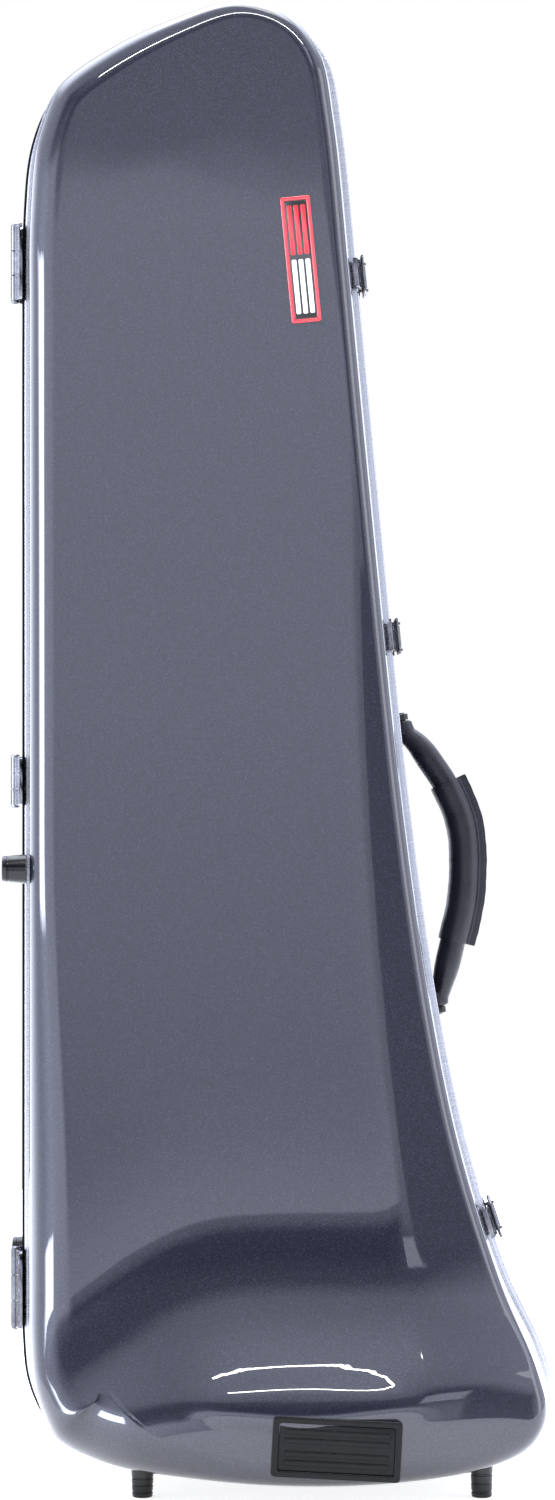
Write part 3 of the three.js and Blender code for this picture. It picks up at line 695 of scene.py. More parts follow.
def plush():
    n = Material("black_plush")
    nap = n.noise(700.0, detail=6.0, roughness=0.7)
    brushed = n.noise(14.0, detail=4.0)
    colour = n.mix(nap, (0.006, 0.0065, 0.008), (0.030, 0.031, 0.036))
    colour = n.mix(n.math("MULTIPLY", brushed, 0.5), colour, (0.012, 0.013, 0.016))
    n.principled(Base_Color=colour, Roughness=0.95, Normal=n.bump(nap, 0.6, 0.001))
    n.principled(Sheen_Weight=0.35, Sheen_Roughness=0.45)
    return n.material


def webbing():
    n = Material("woven_webbing")
    across = n.add("ShaderNodeTexWave", {"Vector": n.position((1, 1, 1), (0, 0.785, 0)),
                                         "Scale": 260.0}, bands_direction="X").outputs["Fac"]
    along = n.add("ShaderNodeTexWave", {"Vector": n.position((1, 1, 1), (0, -0.785, 0)),
                                        "Scale": 260.0}, bands_direction="X").outputs["Fac"]
    weave = n.math("MAXIMUM", across, along)
    colour = n.mix(weave, (0.012, 0.012, 0.014), (0.05, 0.05, 0.055))
    n.principled(Base_Color=colour, Roughness=0.85, Normal=n.bump(weave, 0.6, 0.0006))
    return n.material


def thread():
    n = Material("waxed_thread")
    twist = n.add("ShaderNodeTexWave", {"Vector": n.position(), "Scale": 900.0}).outputs["Fac"]
    colour = n.mix(twist, (0.02, 0.02, 0.022), (0.07, 0.07, 0.075))
    n.principled(Base_Color=colour, Roughness=0.6, Normal=n.bump(twist, 0.4, 0.0002))
    return n.material


def domed(name, low, high):
    """Clear-domed printed plastic."""
    n = Material(name)
    tone = n.noise(120.0, detail=2.0)
    n.principled(Base_Color=n.mix(tone, low, high), Roughness=0.3,
                 Coat_Weight=1.0, Coat_Roughness=0.03)
    return n.material


GEL = gel_coat()
ALUMINIUM = satin_aluminium()
NICKEL = plated_metal()
ENAMEL = black_metal()
FOOT_RUBBER = rubber(low=0.002, high=0.006, roughness=0.22, specular=0.35)
GLOSSY_RUBBER = rubber("glossy_rubber", 0.002, 0.005, 0.26, 0.16)
GASKET_RUBBER = rubber("gasket_rubber", 0.002, 0.004, 0.7, 0.1)
LEATHER = leather()
PLUSH = plush()
WEBBING = webbing()
THREAD = thread()
BADGE_RED = domed("badge_red", (0.50, 0.012, 0.02), (0.62, 0.02, 0.03))
BADGE_BLACK = domed("badge_black", grey(0.004), grey(0.009))
BADGE_WHITE = domed("badge_white", grey(0.72), grey(0.80))

# ---------------------------------------------------------------- camera

CAMERA_DISTANCE = 2.60
VIEW_HEIGHT = 0.9596  # of the parting plane that the picture takes in
VIEW_CENTRE_Z = 0.4648

camera_data = bpy.data.cameras.new("camera")
camera = bpy.data.objects.new("camera", camera_data)
bpy.context.scene.collection.objects.link(camera)
camera.location = (SHIFT[0] * MM, SHIFT[1] * MM - CAMERA_DISTANCE, VIEW_CENTRE_Z)
camera.rotation_euler = (math.pi / 2, 0, 0)
camera_data.sensor_width = 36
camera_data.lens = 36 * CAMERA_DISTANCE / VIEW_HEIGHT
bpy.context.scene.camera = camera
bpy.context.scene.view_settings.view_transform = "Standard"

# ---------------------------------------------------------------- shells, valances, gasket


def finish_piece(piece, body, slot, *nodes):
    """Rides a piece on its body and hides the CAD nodes that it stands for; slot is not used."""
    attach(piece, body)
    if nodes:
        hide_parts(*nodes)
    return piece


def shells():
    for name, half in (("lid", LID), ("back", BACK)):
        shell = two_skins(f"{name}_shell_skin", half, 0, WALL, GEL, set_in=True)
        finish_piece(shell, name, "shell", f"{name}_shell")


def valances():
    """A rolled aluminium edge: a flat web with a bead that stands a little proud."""
    near, far, proud, inward = (RIM[k] for k in ("near", "far", "proud", "inward"))
    bead = 1.1
    section = []
    for t in np.linspace(0, math.pi / 2, 6):
        section.append((-proud + bead * (1 - math.sin(t)), near + bead * (1 - math.cos(t))))
    section = [(inward, near), (inward - 0.4, near), *reversed(section)]
    for t in np.linspace(0, math.pi / 2, 6):
        section.append((-proud + bead * (1 - math.cos(t)), far - bead * (1 - math.sin(t))))
    section += [(inward - 0.4, far), (inward, far - 0.4), (inward, near + 0.4)]
    for name, side in (("lid", -1), ("back", 1)):
        rim = outline_band(f"{name}_valance", [(i, side * y) for i, y in section], ALUMINIUM,
                           set_in=RIM_SET_IN)
        finish_piece(rim, name, "valance", f"{name}_rim")


def gasket():
    section = [(4.0, -0.7), (0.6, -0.7)]
    for t in np.linspace(-math.pi / 2, math.pi / 2, 8):
        section.append((0.4 - 0.7 * math.cos(t), 0.7 * math.sin(t)))
    section += [(0.6, 0.7), (4.0, 0.7)]
    band = outline_band("gasket_bead", section, GASKET_RUBBER)
    finish_piece(band, "back", "rubber", "rim_gasket")


# ---------------------------------------------------------------- linings


def lid_lining():
    inner = LINING_OFFSET + LID_LINING_THICKNESS
    lining = two_skins("lid_plush", LID, LINING_OFFSET, inner, PLUSH)
    finish_piece(lining, "lid", "plush", "lid_lining")
    turn = np.linspace(0, 2 * math.pi, 12, endpoint=False)
    section = [(9.8 + 2.2 * math.cos(t), -4.2 + 1.9 * math.sin(t)) for t in turn]
    piping = outline_band("lid_piping", section, PLUSH)
    finish_piece(piping, "lid", "plush")


def soft_box(x, z, x_span, z_span, edge, corner):
    """1 inside a rounded rectangle, falling to 0 over its edge."""
    half_x, half_z = (x_span[1] - x_span[0]) / 2, (z_span[1] - z_span[0]) / 2
    dx = np.abs(x - sum(x_span) / 2) - half_x + corner
    dz = np.abs(z - sum(z_span) / 2) - half_z + corner
    outside = np.hypot(np.maximum(dx, 0), np.maximum(dz, 0)) - corner
    distance = outside + np.minimum(np.maximum(dx, dz), 0)
    return smoothstep(edge / 2, -edge / 2, distance)


def hollow_depth(x, z):
    """How far the back lining's hollows go below its face."""
    face = SHELL_START
    radius = BELL["neck"] + (BELL["rim_radius"] - BELL["neck"]) * np.exp(
        np.minimum((BELL["rim_top"] - z) / BELL["fade"], 0))
    ends = smoothstep(BELL["rim_bottom"] - 2, BELL["rim_bottom"] + 2, z)
    ends = ends * smoothstep(BELL["top"] + 2, BELL["top"] - 4, z)
    across = np.maximum(radius ** 2 - (x - BELL["x"]) ** 2, 0)
    bell = np.maximum(np.sqrt(across) - face, 0) * ends
    slide = (SLIDE_WELL["depth"] - face) * soft_box(
        x, z, SLIDE_WELL["x"], SLIDE_WELL["z"], 7, 12)
    well = (ACCESSORY_WELL["depth"] - face) * soft_box(
        x, z, ACCESSORY_WELL["x"], ACCESSORY_WELL["z"], 6, 8)
    recess = 4.8 * soft_box(x, z, (DOOR["x"][0] - 1, DOOR["x"][1] + 1),
                            (DOOR["z"][0] - 1, DOOR["z"][1] + 1), 1.5, 5)
    return np.maximum.reduce([bell, slide, well, recess])


def back_lining():
    rows, columns = 420, 230
    outer, faces, count = skin(BACK, LINING_OFFSET, SHELL_START, rows, columns)
    point, out = outline.loop(rows, columns)
    rings = []
    for inset, y in ((LINING_OFFSET + DRAFT * SHELL_START, SHELL_START), (7.4, SHELL_START),
                     (9.0, SHELL_START - 1.8), (11.5, SHELL_START - 1.8),
                     (13.0, SHELL_START)):
        rings.append(at_depth(point - out * inset, y))
    grid = fill_grid(rings[-1], rows, columns)
    grid[..., 1] = SHELL_START + hollow_depth(grid[..., 0], grid[..., 2])
    top = np.vstack(rings + [grid.reshape(-1, 3)])
    top_faces = grid_faces(len(rings), count, closed=True)
    top_faces += grid_faces(columns + 1, rows + 1, first=len(rings) * count)
    border = fill_border(rows, columns) + len(rings) * count
    top[border] = rings[-1]
    top[:count] = outer[:count]
    shift = len(outer)
    faces += [tuple(i + shift for i in f) for f in top_faces]
    lining = make_mesh("back_plush", np.vstack([outer, top]), faces, PLUSH, sharp_degrees=60)
    finish_piece(lining, "back", "plush", "back_lining")


def padded_board(name, x_span, z_span, front, thickness, crown):
    """A flat padded board with a crowned front face, facing -y."""
    edge = rectangle_edge(x_span, z_span, 5.0, 6)
    centre = edge.mean(axis=0)
    steps = [(1.0, thickness), (1.0, 0.6 * thickness), (0.997, 0.35 * thickness),
             (0.985, 0.14 * thickness), (0.96, 0.02 * thickness)]
    steps += [(scale, -crown * (1 - scale ** 2)) for scale in np.linspace(0.94, 0.02, 16)]
    rings = [at_depth(centre + (edge - centre) * scale, front + y) for scale, y in steps]
    return loft(name, rings, PLUSH, sharp_degrees=60)


def rectangle_edge(x_span, z_span, corner, steps):
    """A rectangle's outline between two spans, with rounded corners."""
    (x0, x1), (z0, z1) = x_span, z_span
    return round_corners([(x0, z0), (x1, z0), (x1, z1), (x0, z1)], corner, steps)


def accessory_door():
    room = 0.5  # left in front for the board's crown
    door = padded_board("accessory_door_board", DOOR["x"], DOOR["z"], DOOR["front"] + room,
                        DOOR["thickness"] - room, crown=0.45)
    finish_piece(door, "accessory_door", "plush", "accessory_door")
    tab = webbing_strip("accessory_pull_tab", "accessory_door_tab")
    finish_piece(tab, "accessory_door", "webbing", "accessory_door_tab")


def webbing_strip(name, node):
    """A flat woven strip in a CAD node's box, with folded, stitched ends."""
    low, high = node_box(node)
    x_span, z_span, front = (low[0], high[0]), (low[2], high[2]), low[1]
    edge = rectangle_edge(x_span, z_span, 1.2, 4)
    strip = prism(name + "_web", edge, (front + 0.35, high[1]), WEBBING,
                  bevel=0.3, plane="xz")
    pieces = [strip]
    reach = min(9.0, (x_span[1] - x_span[0]) * 0.4)
    for x0, x1 in ((x_span[0] + 1, x_span[0] + reach), (x_span[1] - reach, x_span[1] - 1)):
        line = [(x0, z_span[0] + 2), (x1, z_span[0] + 2), (x1, z_span[1] - 2),
                (x0, z_span[1] - 2), (x0, z_span[0] + 2)]
        pieces += stitches(line, front + 0.3)
    return joined(name, pieces)


def stitches(line, y, length=2.2, gap=0.8, radius=0.28):
    """Short threads along a line in x, z, lying at depth y."""
    pieces = []
    for (x0, z0), (x1, z1) in zip(line, line[1:]):
        total = math.hypot(x1 - x0, z1 - z0)
        count = max(int(total / (length + gap)), 1)
        along = np.array([(x1 - x0) / total, 0, (z1 - z0) / total])
        for i in range(count):
            start = (i + 0.5) * total / count - length / 2
            origin = np.array([x0, y, z0]) + along * start
            pieces.append(thread_piece(origin, along, length, radius))
    return pieces


def thread_piece(origin, along, length, radius):
    profile = [(0.0, 0.0), (0.7 * radius, 0.1 * length), (radius, 0.3 * length),
               (radius, 0.7 * length), (0.7 * radius, 0.9 * length), (0.0, length)]
    return turned("thread", profile, THREAD, origin, along, sides=8)


def straps():
    for node in ("slide_strap", "bell_strap"):
        strap = webbing_strip(node + "_webbing", node)
        finish_piece(strap, "back", "webbing", node)


# ---------------------------------------------------------------- hinges


def knuckle(low, high):
    radius, soft = 3.1, 0.35
    profile = [(0, low), (radius - soft, low), (radius, low + soft),
               (radius, high - soft), (radius - soft, high), (0, high)]
    return turned("knuckle", profile, NICKEL, (HINGE_AXIS_X, 0, 0), (0, 0, 1), sides=40)


def rivet(origin, axis, radius=2.0, height=0.7, material=NICKEL):
    steps = [(radius * math.cos(t), height * math.sin(t)) for t in np.linspace(0, 1.5, 7)]
    profile = [(0, -0.4), (radius, -0.4), *steps]
    return turned("rivet", profile, material, origin, axis, sides=24)


def hinge_flank(d):
    """Where the hinge side's flank is, in x, at a distance d from the parting plane."""
    return HINGE_SIDE_X + DRAFT * d - 0.6


def leaf_plate(side, length, span):
    """A leaf's flat plate, with its far corners cut off."""
    corner, soft = 5.0, 0.4
    rings = []
    for d, inset in ((3.3, 0.0), (length - corner, 0.0), (length - 1.5, 1.3), (length, corner)):
        at_root = d < corner
        x_in = HINGE_STRAP_X - 0.2 if at_root else hinge_flank(d)
        x_out = HINGE_STRAP_X - 1.7 if at_root else hinge_flank(d) - 1.8
        z0, z1 = span[0] + inset, span[1] - inset
        ring = [(x_in, z0), (x_out + soft, z0), (x_out, z0 + soft),
                (x_out, z1 - soft), (x_out + soft, z1), (x_in, z1)]
        rings.append([(x, side * d, z) for x, z in ring])
    return loft("leaf", rings, NICKEL, sharp_degrees=30)


def knuckle_strap(side, low, high):
    """The flat strip that joins a knuckle to its leaf."""
    x0, x1 = HINGE_STRAP_X - 1.7, HINGE_STRAP_X - 0.1
    rings = [[(x0, side * y, low), (x1, side * y, low), (x1, side * y, high), (x0, side * y, high)]
             for y in (0.5, 3.6)]
    return loft("strap", rings, NICKEL)


def hinges():
    for name, (low, high) in HINGE_SPANS.items():
        third = (high - low) / 3
        ends = [(low, low + third), (high - third, high)]
        middle = [(low + third + GAP, high - third - GAP)]
        rivets = np.linspace(low + 7, high - 7, 3 if high - low > 40 else 2)
        for body, side, length, knuckles, rows in (("lid", -1, 19, middle, (12.5,)),
                                                   ("back", 1, 32, ends, (13, 25))):
            pieces = [leaf_plate(side, length, (low, high))]
            for span in knuckles:
                pieces += [knuckle(*span), knuckle_strap(side, *span)]
            pieces += [rivet((hinge_flank(d) - 1.6, side * d, z), (-1, 0, 0))
                       for d in rows for z in rivets]
            whole = joined(f"hinge_{name}_{body}_plate", pieces)
            finish_piece(whole, body, "plated_metal", f"hinge_{name}_{body}_leaf")
        upper_half = [(1.3, 0.3), (2.6, 0.3), (2.6, 0.9), (1.8, 1.5), (0, 1.5)]
        profile = [(r, low - h) for r, h in reversed(upper_half)]
        profile += [(r, high + h) for r, h in upper_half]
        pin = turned(f"hinge_{name}_pin_rod", profile, NICKEL, (HINGE_AXIS_X, 0, 0), (0, 0, 1))
        finish_piece(pin, "back", "plated_metal", f"hinge_{name}_pin")


# ---------------------------------------------------------------- latches and handle


def side_axes(joint_name, pivot, turned_over=False):
    """The axes a handle-side piece is made in, found from its joint: x out, y back, z up."""
    up = np.array(joint_named(joint_name)["axis"], dtype=float) * (-1 if turned_over else 1)
    up /= np.linalg.norm(up)
    back = np.array([0.0, 1.0, 0.0])
    out = np.cross(back, up)
    axes = np.eye(4)
    axes[:3, :3] = np.stack([out, back, up], axis=1)
    where = joint_place(joint_name) - SHIFT
    axes[:3, 3] = where - pivot[0] * out - pivot[1] * back
    return axes


def clear_of_flank(d):
    """How far out a plate starts, at a distance d from the parting plane."""
    return 0.6 - DRAFT * abs(d)


def latches():
    x, y = 5.0, 13.0  # the lever's pivot, outward and back
    near = RIM["far"] + 1
    for name in ("upper", "middle", "lower"):
        m = side_axes(f"latch_{name}_lever_hinge", (x, y), turned_over=True)
        centre = in_axes(m, x, y, 0)
        plate_outline = [(clear_of_flank(near), near), (2.2, near), (2.2, 31), (1.2, 34),
                         (clear_of_flank(34), 34)]
        base = [prism("plate", plate_outline, (-12, 12), ENAMEL, m, 0.4)]
        for span in ((7.7, 9.3), (-9.3, -7.7)):
            lug = [(1, y - 3), *[(x + 3 * math.sin(t), y - 3 * math.cos(t))
                                 for t in np.linspace(0, math.pi, 12)], (1, y + 3)]
            base.append(prism("lug", lug, span, ENAMEL, m, 0.25))
        for z in (-6.5, 6.5):
            base.append(rivet(in_axes(m, 2.1, 28.5, z), m[:3, 0], 1.7, 0.5))
        finish_piece(joined(f"latch_{name}_base_plate", base), "back", "black_metal",
                     f"latch_{name}_base")
        lever_body = f"latch_{name}_lever"
        body = [(x - 1.4, y), (x - 1.6, 22), (x - 0.8, 24), (x + 1.4, 24), (x + 1.8, 16),
                (x + 2.2, y)]
        lip = [(x - 0.8, 21.5), (x - 0.6, 33), (x + 0.4, 37), (x + 1.6, 38), (x + 2.0, 37),
               (x + 1.2, 33), (x + 1.4, 21.5)]
        lever = [prism("body", body, (-7.2, 7.2), NICKEL, m, 0.4),
                 prism("lip", lip, (-11, 11), NICKEL, m, 0.5),
                 turned("boss", [(0, -7.2), (2.1, -7.2), (2.4, -6.9), (2.4, 6.9), (2.1, 7.2),
                                 (0, 7.2)], NICKEL, centre, m[:3, 2], 32)]
        finish_piece(joined(f"latch_{name}_lever_plate", lever), lever_body, "plated_metal",
                     f"latch_{name}_lever")
        route = [(x, 18, 5), (x, 18, 9.4), (x, 17.2, 10.6), (x, 15, 10.6), (x, -12, 10.6),
                 (x, -14.4, 9.9), (x, -14.9, 7.5), (x, -14.9, -7.5), (x, -14.4, -9.9),
                 (x, -12, -10.6), (x, 15, -10.6), (x, 17.2, -10.6), (x, 18, -9.4), (x, 18, -5)]
        bail = wire(f"latch_{name}_bail_wire", transform(np.array(route), m), 0.9, NICKEL)
        finish_piece(bail, f"latch_{name}_bail", "plated_metal", f"latch_{name}_bail")
        keeper = [(clear_of_flank(near), -near), (2, -near), (3.5, -9), (3.5, -11.5), (2, -13),
                  (2, -21), (1, -24), (clear_of_flank(24), -24)]
        hook = [prism("hook", keeper, (-9, 9), NICKEL, m, 0.4)]
        for z in (-5, 5):
            hook.append(rivet(in_axes(m, 1.9, -18.5, z), m[:3, 0], 1.5, 0.5))
        finish_piece(joined(f"latch_{name}_keeper_hook", hook), "lid", "plated_metal",
                     f"latch_{name}_keeper")
        pin = turned(f"latch_{name}_pin_rod", [(0, -9.4), (0.7, -9.4), (0.9, -9.2), (0.9, 9.2),
                                              (0.7, 9.4), (0, 9.4)], NICKEL, centre, m[:3, 2], 20)
        finish_piece(pin, "back", "plated_metal", f"latch_{name}_pin")


def curve_point(p0, p1, p2, p3, t):
    """A point between p1 and p2 on a smooth curve through four points."""
    return 0.5 * (2 * p1 + (p2 - p0) * t + (2 * p0 - 5 * p1 + 4 * p2 - p3) * t * t
                  + (3 * p1 - p0 - 3 * p2 + p3) * t ** 3)


def wire(name, route, radius, material, sides=12):
    """A round wire through points, with its bends smoothed."""
    route = np.asarray(route, dtype=float)
    fine = []
    for i in range(len(route) - 1):
        p0 = route[max(i - 1, 0)]
        p1, p2 = route[i], route[i + 1]
        p3 = route[min(i + 2, len(route) - 1)]
        if np.linalg.norm(p2 - p1) > 8:  # a straight run
            fine += [p1 + (p2 - p1) * t for t in (0.0, 0.5)]
        else:
            fine += [curve_point(p0, p1, p2, p3, t) for t in np.arange(5) / 5]
    fine.append(route[-1])
    return sweep(name, np.array(fine), radius, material, sides)


def sweep(name, path, radius, material, sides=16, section=None, side_hint=None, outward=None):
    """A section carried along a path. radius may be one number or one for each point.

    side_hint is a direction that the section's first axis starts in. outward is the normal of
    the plane that the path lies in, when the section's first axis is to point out of the bend.
    """
    along = np.gradient(path, axis=0)
    along /= np.linalg.norm(along, axis=1, keepdims=True)
    radius = np.broadcast_to(radius, (len(path),))
    side = np.asarray(side_hint if side_hint is not None else (0.0, 1.0, 0.0), dtype=float)
    if side_hint is None and abs(along[0] @ side) > 0.9:
        side = np.array([1.0, 0.0, 0.0])
    if section is None:
        turn = np.linspace(0, 2 * math.pi, sides, endpoint=False)
        section = np.stack([np.cos(turn), np.sin(turn)], axis=1)
    rings = []
    for point, direction, r in zip(path, along, radius):
        if outward is not None:
            side = np.cross(direction, outward)
            side *= np.sign(side[0])
        side = side - direction * (side @ direction)
        side = side / np.linalg.norm(side)
        other = np.cross(direction, side)
        rings.append(point + r * (np.outer(section[:, 0], side) + np.outer(section[:, 1], other)))
    return loft(name, rings, material, sharp_degrees=50)


def handle_path(control, steps):
    """An arch through (outward, up) points, as evenly placed points."""
    control = np.array(control, dtype=float)
    control = np.vstack([2 * control[0] - control[1], control, 2 * control[-1] - control[-2]])
    fine = []
    for p0, p1, p2, p3 in zip(control, control[1:], control[2:], control[3:]):
        fine += [curve_point(p0, p1, p2, p3, t) for t in np.arange(20) / 20]
    fine = np.array(fine + [control[-2]])
    length = np.concatenate([[0], np.cumsum(np.linalg.norm(np.diff(fine, axis=0), axis=1))])
    want = np.linspace(0, length[-1], steps)
    flat = np.stack([np.interp(want, length, fine[:, k]) for k in (0, 1)], axis=1)
    return at_depth(flat, HANDLE["back"])


def handle():
    axes = side_axes("handle_fold", (HANDLE["eye_x"], HANDLE["back"]))
    steps, end_radius = 110, 5.8
    path = handle_path([(5.8, 92), (6.5, 88), *HANDLE_PATH, (6.5, -88), (5.8, -92)], steps)
    along = np.arange(steps)
    taper = smoothstep(0, 16, np.minimum(along, along[::-1]))
    radius = end_radius + (HANDLE["tube"] - end_radius) * taper
    pieces = [sweep("tube", transform(path, axes), radius, LEATHER, 40, side_hint=axes[:3, 1])]
    centre = in_axes(axes, HANDLE["eye_x"], HANDLE["back"], 0)
    low, high = HANDLE["eye_span"]
    for side in (1, -1):
        profile = [(0, low), (4.6, low), (6.0, low + 1.4), (6.0, high - 1.8),
                   (5.4, high - 0.6), (4.2, high), (0, high)]
        profile = [(r, side * h) for r, h in profile]
        pieces.append(turned("eye", profile, LEATHER, centre, axes[:3, 2], 40))
    pieces += grip_stitches(path, axes)
    finish_piece(joined("handle_tube", pieces), "handle", "rubber", "handle_grip")
    wrap = joined("handle_sleeve", wrap_pieces(axes))
    finish_piece(wrap, "handle", "leather", "handle_wrap")
    for name, side in (("upper", 1), ("lower", -1)):
        bracket(name, side, axes, centre)


def grip_stitches(path, axes):
    """Two rows of stitches along the inner side, where the grip's cover is sewn shut."""
    along = np.gradient(path, axis=0)
    along /= np.linalg.norm(along, axis=1, keepdims=True)
    pieces = []
    for spot, direction in list(zip(path, along))[16:-16]:
        inward = np.array([direction[2], 0, -direction[0]])
        inward *= -np.sign(inward[0])
        for aside in (-2.6, 2.6):
            surface = math.sqrt(HANDLE["tube"] ** 2 - aside ** 2)
            point = spot + inward * surface + np.array([0, aside, 0]) - direction * 0.7
            pieces.append(thread_piece(in_axes(axes, *point), axes[:3, :3] @ direction, 1.4, 0.3))
    return pieces


def wrap_pieces(axes):
    """The leather sleeve with its closing flap, which stands along the outer side."""
    steps = 60
    path = handle_path(WRAP_PATH, steps)
    root = math.asin((HANDLE["wrap"] * 0.22) / HANDLE["wrap"])
    turn = np.linspace(root, 2 * math.pi - root, 64)
    # the first coordinate points outward; the flap is two leaves pressed together
    sleeve = [(HANDLE["wrap"] * math.cos(t), HANDLE["wrap"] * math.sin(t)) for t in turn]
    end = HANDLE["flap"]
    flap = [(10.4, -1.5), (11.4, -1.15), (end - 0.5, -1.15), (end, -0.9), (end, -0.12),
            (11.0, 0.0), (end, 0.12), (end, 0.9), (end - 0.5, 1.15), (11.4, 1.15), (10.4, 1.5)]
    section = np.array(sleeve + flap)
    along = np.arange(steps)
    near_end = np.minimum(along, along[::-1])
    swell = 1 + 0.008 * np.sin(along * 0.5) + 0.005 * np.sin(along * 1.3 + 1)
    swell = swell * np.where(near_end < 1, 0.975, 0.992)
    placed = transform(path, axes)
    pieces = [sweep("sleeve", placed, swell, LEATHER, section=section, outward=axes[:3, 1])]
    direction = np.gradient(placed, axis=0)
    direction /= np.linalg.norm(direction, axis=1, keepdims=True)
    for k in range(2, steps - 2):
        out = np.cross(direction[k], axes[:3, 1])
        out *= np.sign(out @ axes[:3, 0])
        for side in (-1, 1):
            point = placed[k] + out * 13.0 + axes[:3, 1] * side * 1.15 - direction[k] * 0.55
            pieces.append(thread_piece(point, direction[k], 1.1, 0.24))
    return pieces


def bracket(name, side, axes, centre):
    x, y = HANDLE["eye_x"], HANDLE["back"]
    low, high = sorted(side * v for v in (92, 108))
    line = round_corners([(y - 9, low), (y + 9, low), (y + 9, high), (y - 9, high)], 4)
    plate = prism("plate", line, (-4.2, -1.0), ENAMEL, axes, 0.5, "yz")
    span = tuple(sorted(side * v for v in HANDLE["lug_span"]))
    lug = [(-4, y - 6.5), (x, y - 4.3), (x + 3, y - 3), (x + 4.3, y), (x + 3, y + 3),
           (x, y + 4.3), (-4, y + 6.5)]
    pieces = [plate, prism("lug", round_corners(lug, 2.0), span, ENAMEL, axes, 0.5)]
    for aside in (-6.2, 6.2):
        spot = in_axes(axes, -1.1, y + aside, side * 103.5)
        pieces.append(rivet(spot, axes[:3, 0], 1.7, 0.7, ENAMEL))
    finish_piece(joined(f"handle_{name}_bracket_plate", pieces), "back", "black_metal",
                 f"handle_bracket_{name}")
    profile = [(0, 86), (1.7, 86), (2, 86.3), (2, 98.7), (1.7, 99.2), (0, 99.2)]
    pin = turned(f"handle_{name}_pin_rod", [(r, side * h) for r, h in profile], NICKEL,
                 centre, axes[:3, 2], 32)
    finish_piece(pin, "back", "plated_metal", f"handle_pin_{name}")


# ---------------------------------------------------------------- feet


def foot_profile(tip, root, length, grooves):
    """A tapered rubber foot with shallow grooves, from its tip to its root."""
    profile = [(0, 0), (tip - 1.0, 0), (tip - 0.3, 0.3), (tip, 1.0)]
    for k in range(grooves):
        at = 3.0 + k * (length - 5.0) / grooves
        radius = tip + (root - tip) * at / length
        profile += [(radius, at), (radius - 0.35, at + 0.35), (radius - 0.35, at + 0.9),
                    (radius, at + 1.25)]
    profile += [(root, length), (0, length)]
    return profile


def feet():
    for half_name in ("lid", "back"):
        for where in ("left", "right"):
            node = f"foot_{half_name}_{where}"
            low, high = node_box(node)
            x, y = (low[0] + high[0]) / 2, (low[1] + high[1]) / 2
            profile = foot_profile(6.4, 7.1, high[2] - 0.3, 3)
            foot = turned(f"{node}_rubber", profile, FOOT_RUBBER, (x, y, 0), (0, 0, 1))
            finish_piece(foot, half_name, "rubber", node)
    for node, body in (("side_foot_lid", "lid"), ("side_foot_back_upper", "back"),
                       ("side_foot_back_lower", "back")):
        low, high = node_box(node)
        y, z = (low[1] + high[1]) / 2, (low[2] + high[2]) / 2
        profile = foot_profile(8.0, 9.3, high[0] - low[0] - 0.3, 1)
        foot = turned(f"{node}_rubber", profile, FOOT_RUBBER, (low[0], y, z), (1, 0, 0))
        finish_piece(foot, body, "rubber", node)


# ---------------------------------------------------------------- bumper and badge


def tilted(x, y, z, tilt, lean=0.0):
    """Axes turned about y, then leant back about x, at a point of the lid."""
    turn = Matrix.Rotation(-tilt, 4, "Y") @ Matrix.Rotation(-lean, 4, "X")
    return np.array(Matrix.Translation((x, y, z)) @ turn)


def rounded_rectangle(width, height, corner, steps=6):
    w, h = width / 2, height / 2
    return round_corners([(-w, -h), (w, -h), (w, h), (-w, h)], corner, steps)


def frame_ring(name, outer, inner, front, back, seat, material, matrix, bevel=0.8):
    """A raised border between two equal outlines, with a floor set in at the seat."""
    arc = np.linspace(0, math.pi / 2, 5)
    levels = [(outer, 0.0, back)]
    levels += [(outer, bevel * (1 - math.cos(t)), front + bevel * (1 - math.sin(t)))
               for t in arc]
    levels += [(inner, -bevel * (1 - math.sin(t)), front + bevel * (1 - math.cos(t)))
               for t in arc]
    levels += [(inner, 0.0, seat), (inner, 1.5, seat)]
    rings = []
    for line, inset, y in levels:
        flat = shrink(line, inset)
        rings.append(transform(at_depth(flat, y), matrix))
    return loft(name, rings, material, sharp_degrees=40)


def bumper():
    surface = -float(plain_face_depth(LID, BUMPER["x"], BUMPER["z"] + 20))
    front = surface - BUMPER["proud"]
    matrix = tilted(BUMPER["x"], 0, BUMPER["z"], -BUMPER["tilt"])
    outer = rounded_rectangle(BUMPER["width"], BUMPER["height"], 3.0)
    border = 2 * BUMPER["border"]
    inner = rounded_rectangle(BUMPER["width"] - border, BUMPER["height"] - border, 2.0)
    ring = frame_ring("bumper_surround", outer, inner, front, surface + 6, front + 2.4,
                      GLOSSY_RUBBER, matrix)
    finish_piece(ring, "lid", "rubber", "bumper_frame")
    pieces = [prism("pad", rounded_rectangle(70.4, 28.4, 1.6), (front + 1.3, front + 2.1),
                    GLOSSY_RUBBER, matrix, 0.2, "xz")]
    for z in (-9.5, -4, 4, 9.5):
        rib = rounded_rectangle(64, 3.4, 1.2)
        pieces.append(prism("rib", rib + (0, z), (front + 0.3, front + 1.6), GLOSSY_RUBBER,
                            matrix, 0.6, "xz"))
    finish_piece(joined("bumper_ribs", pieces), "lid", "rubber", "bumper_pad")


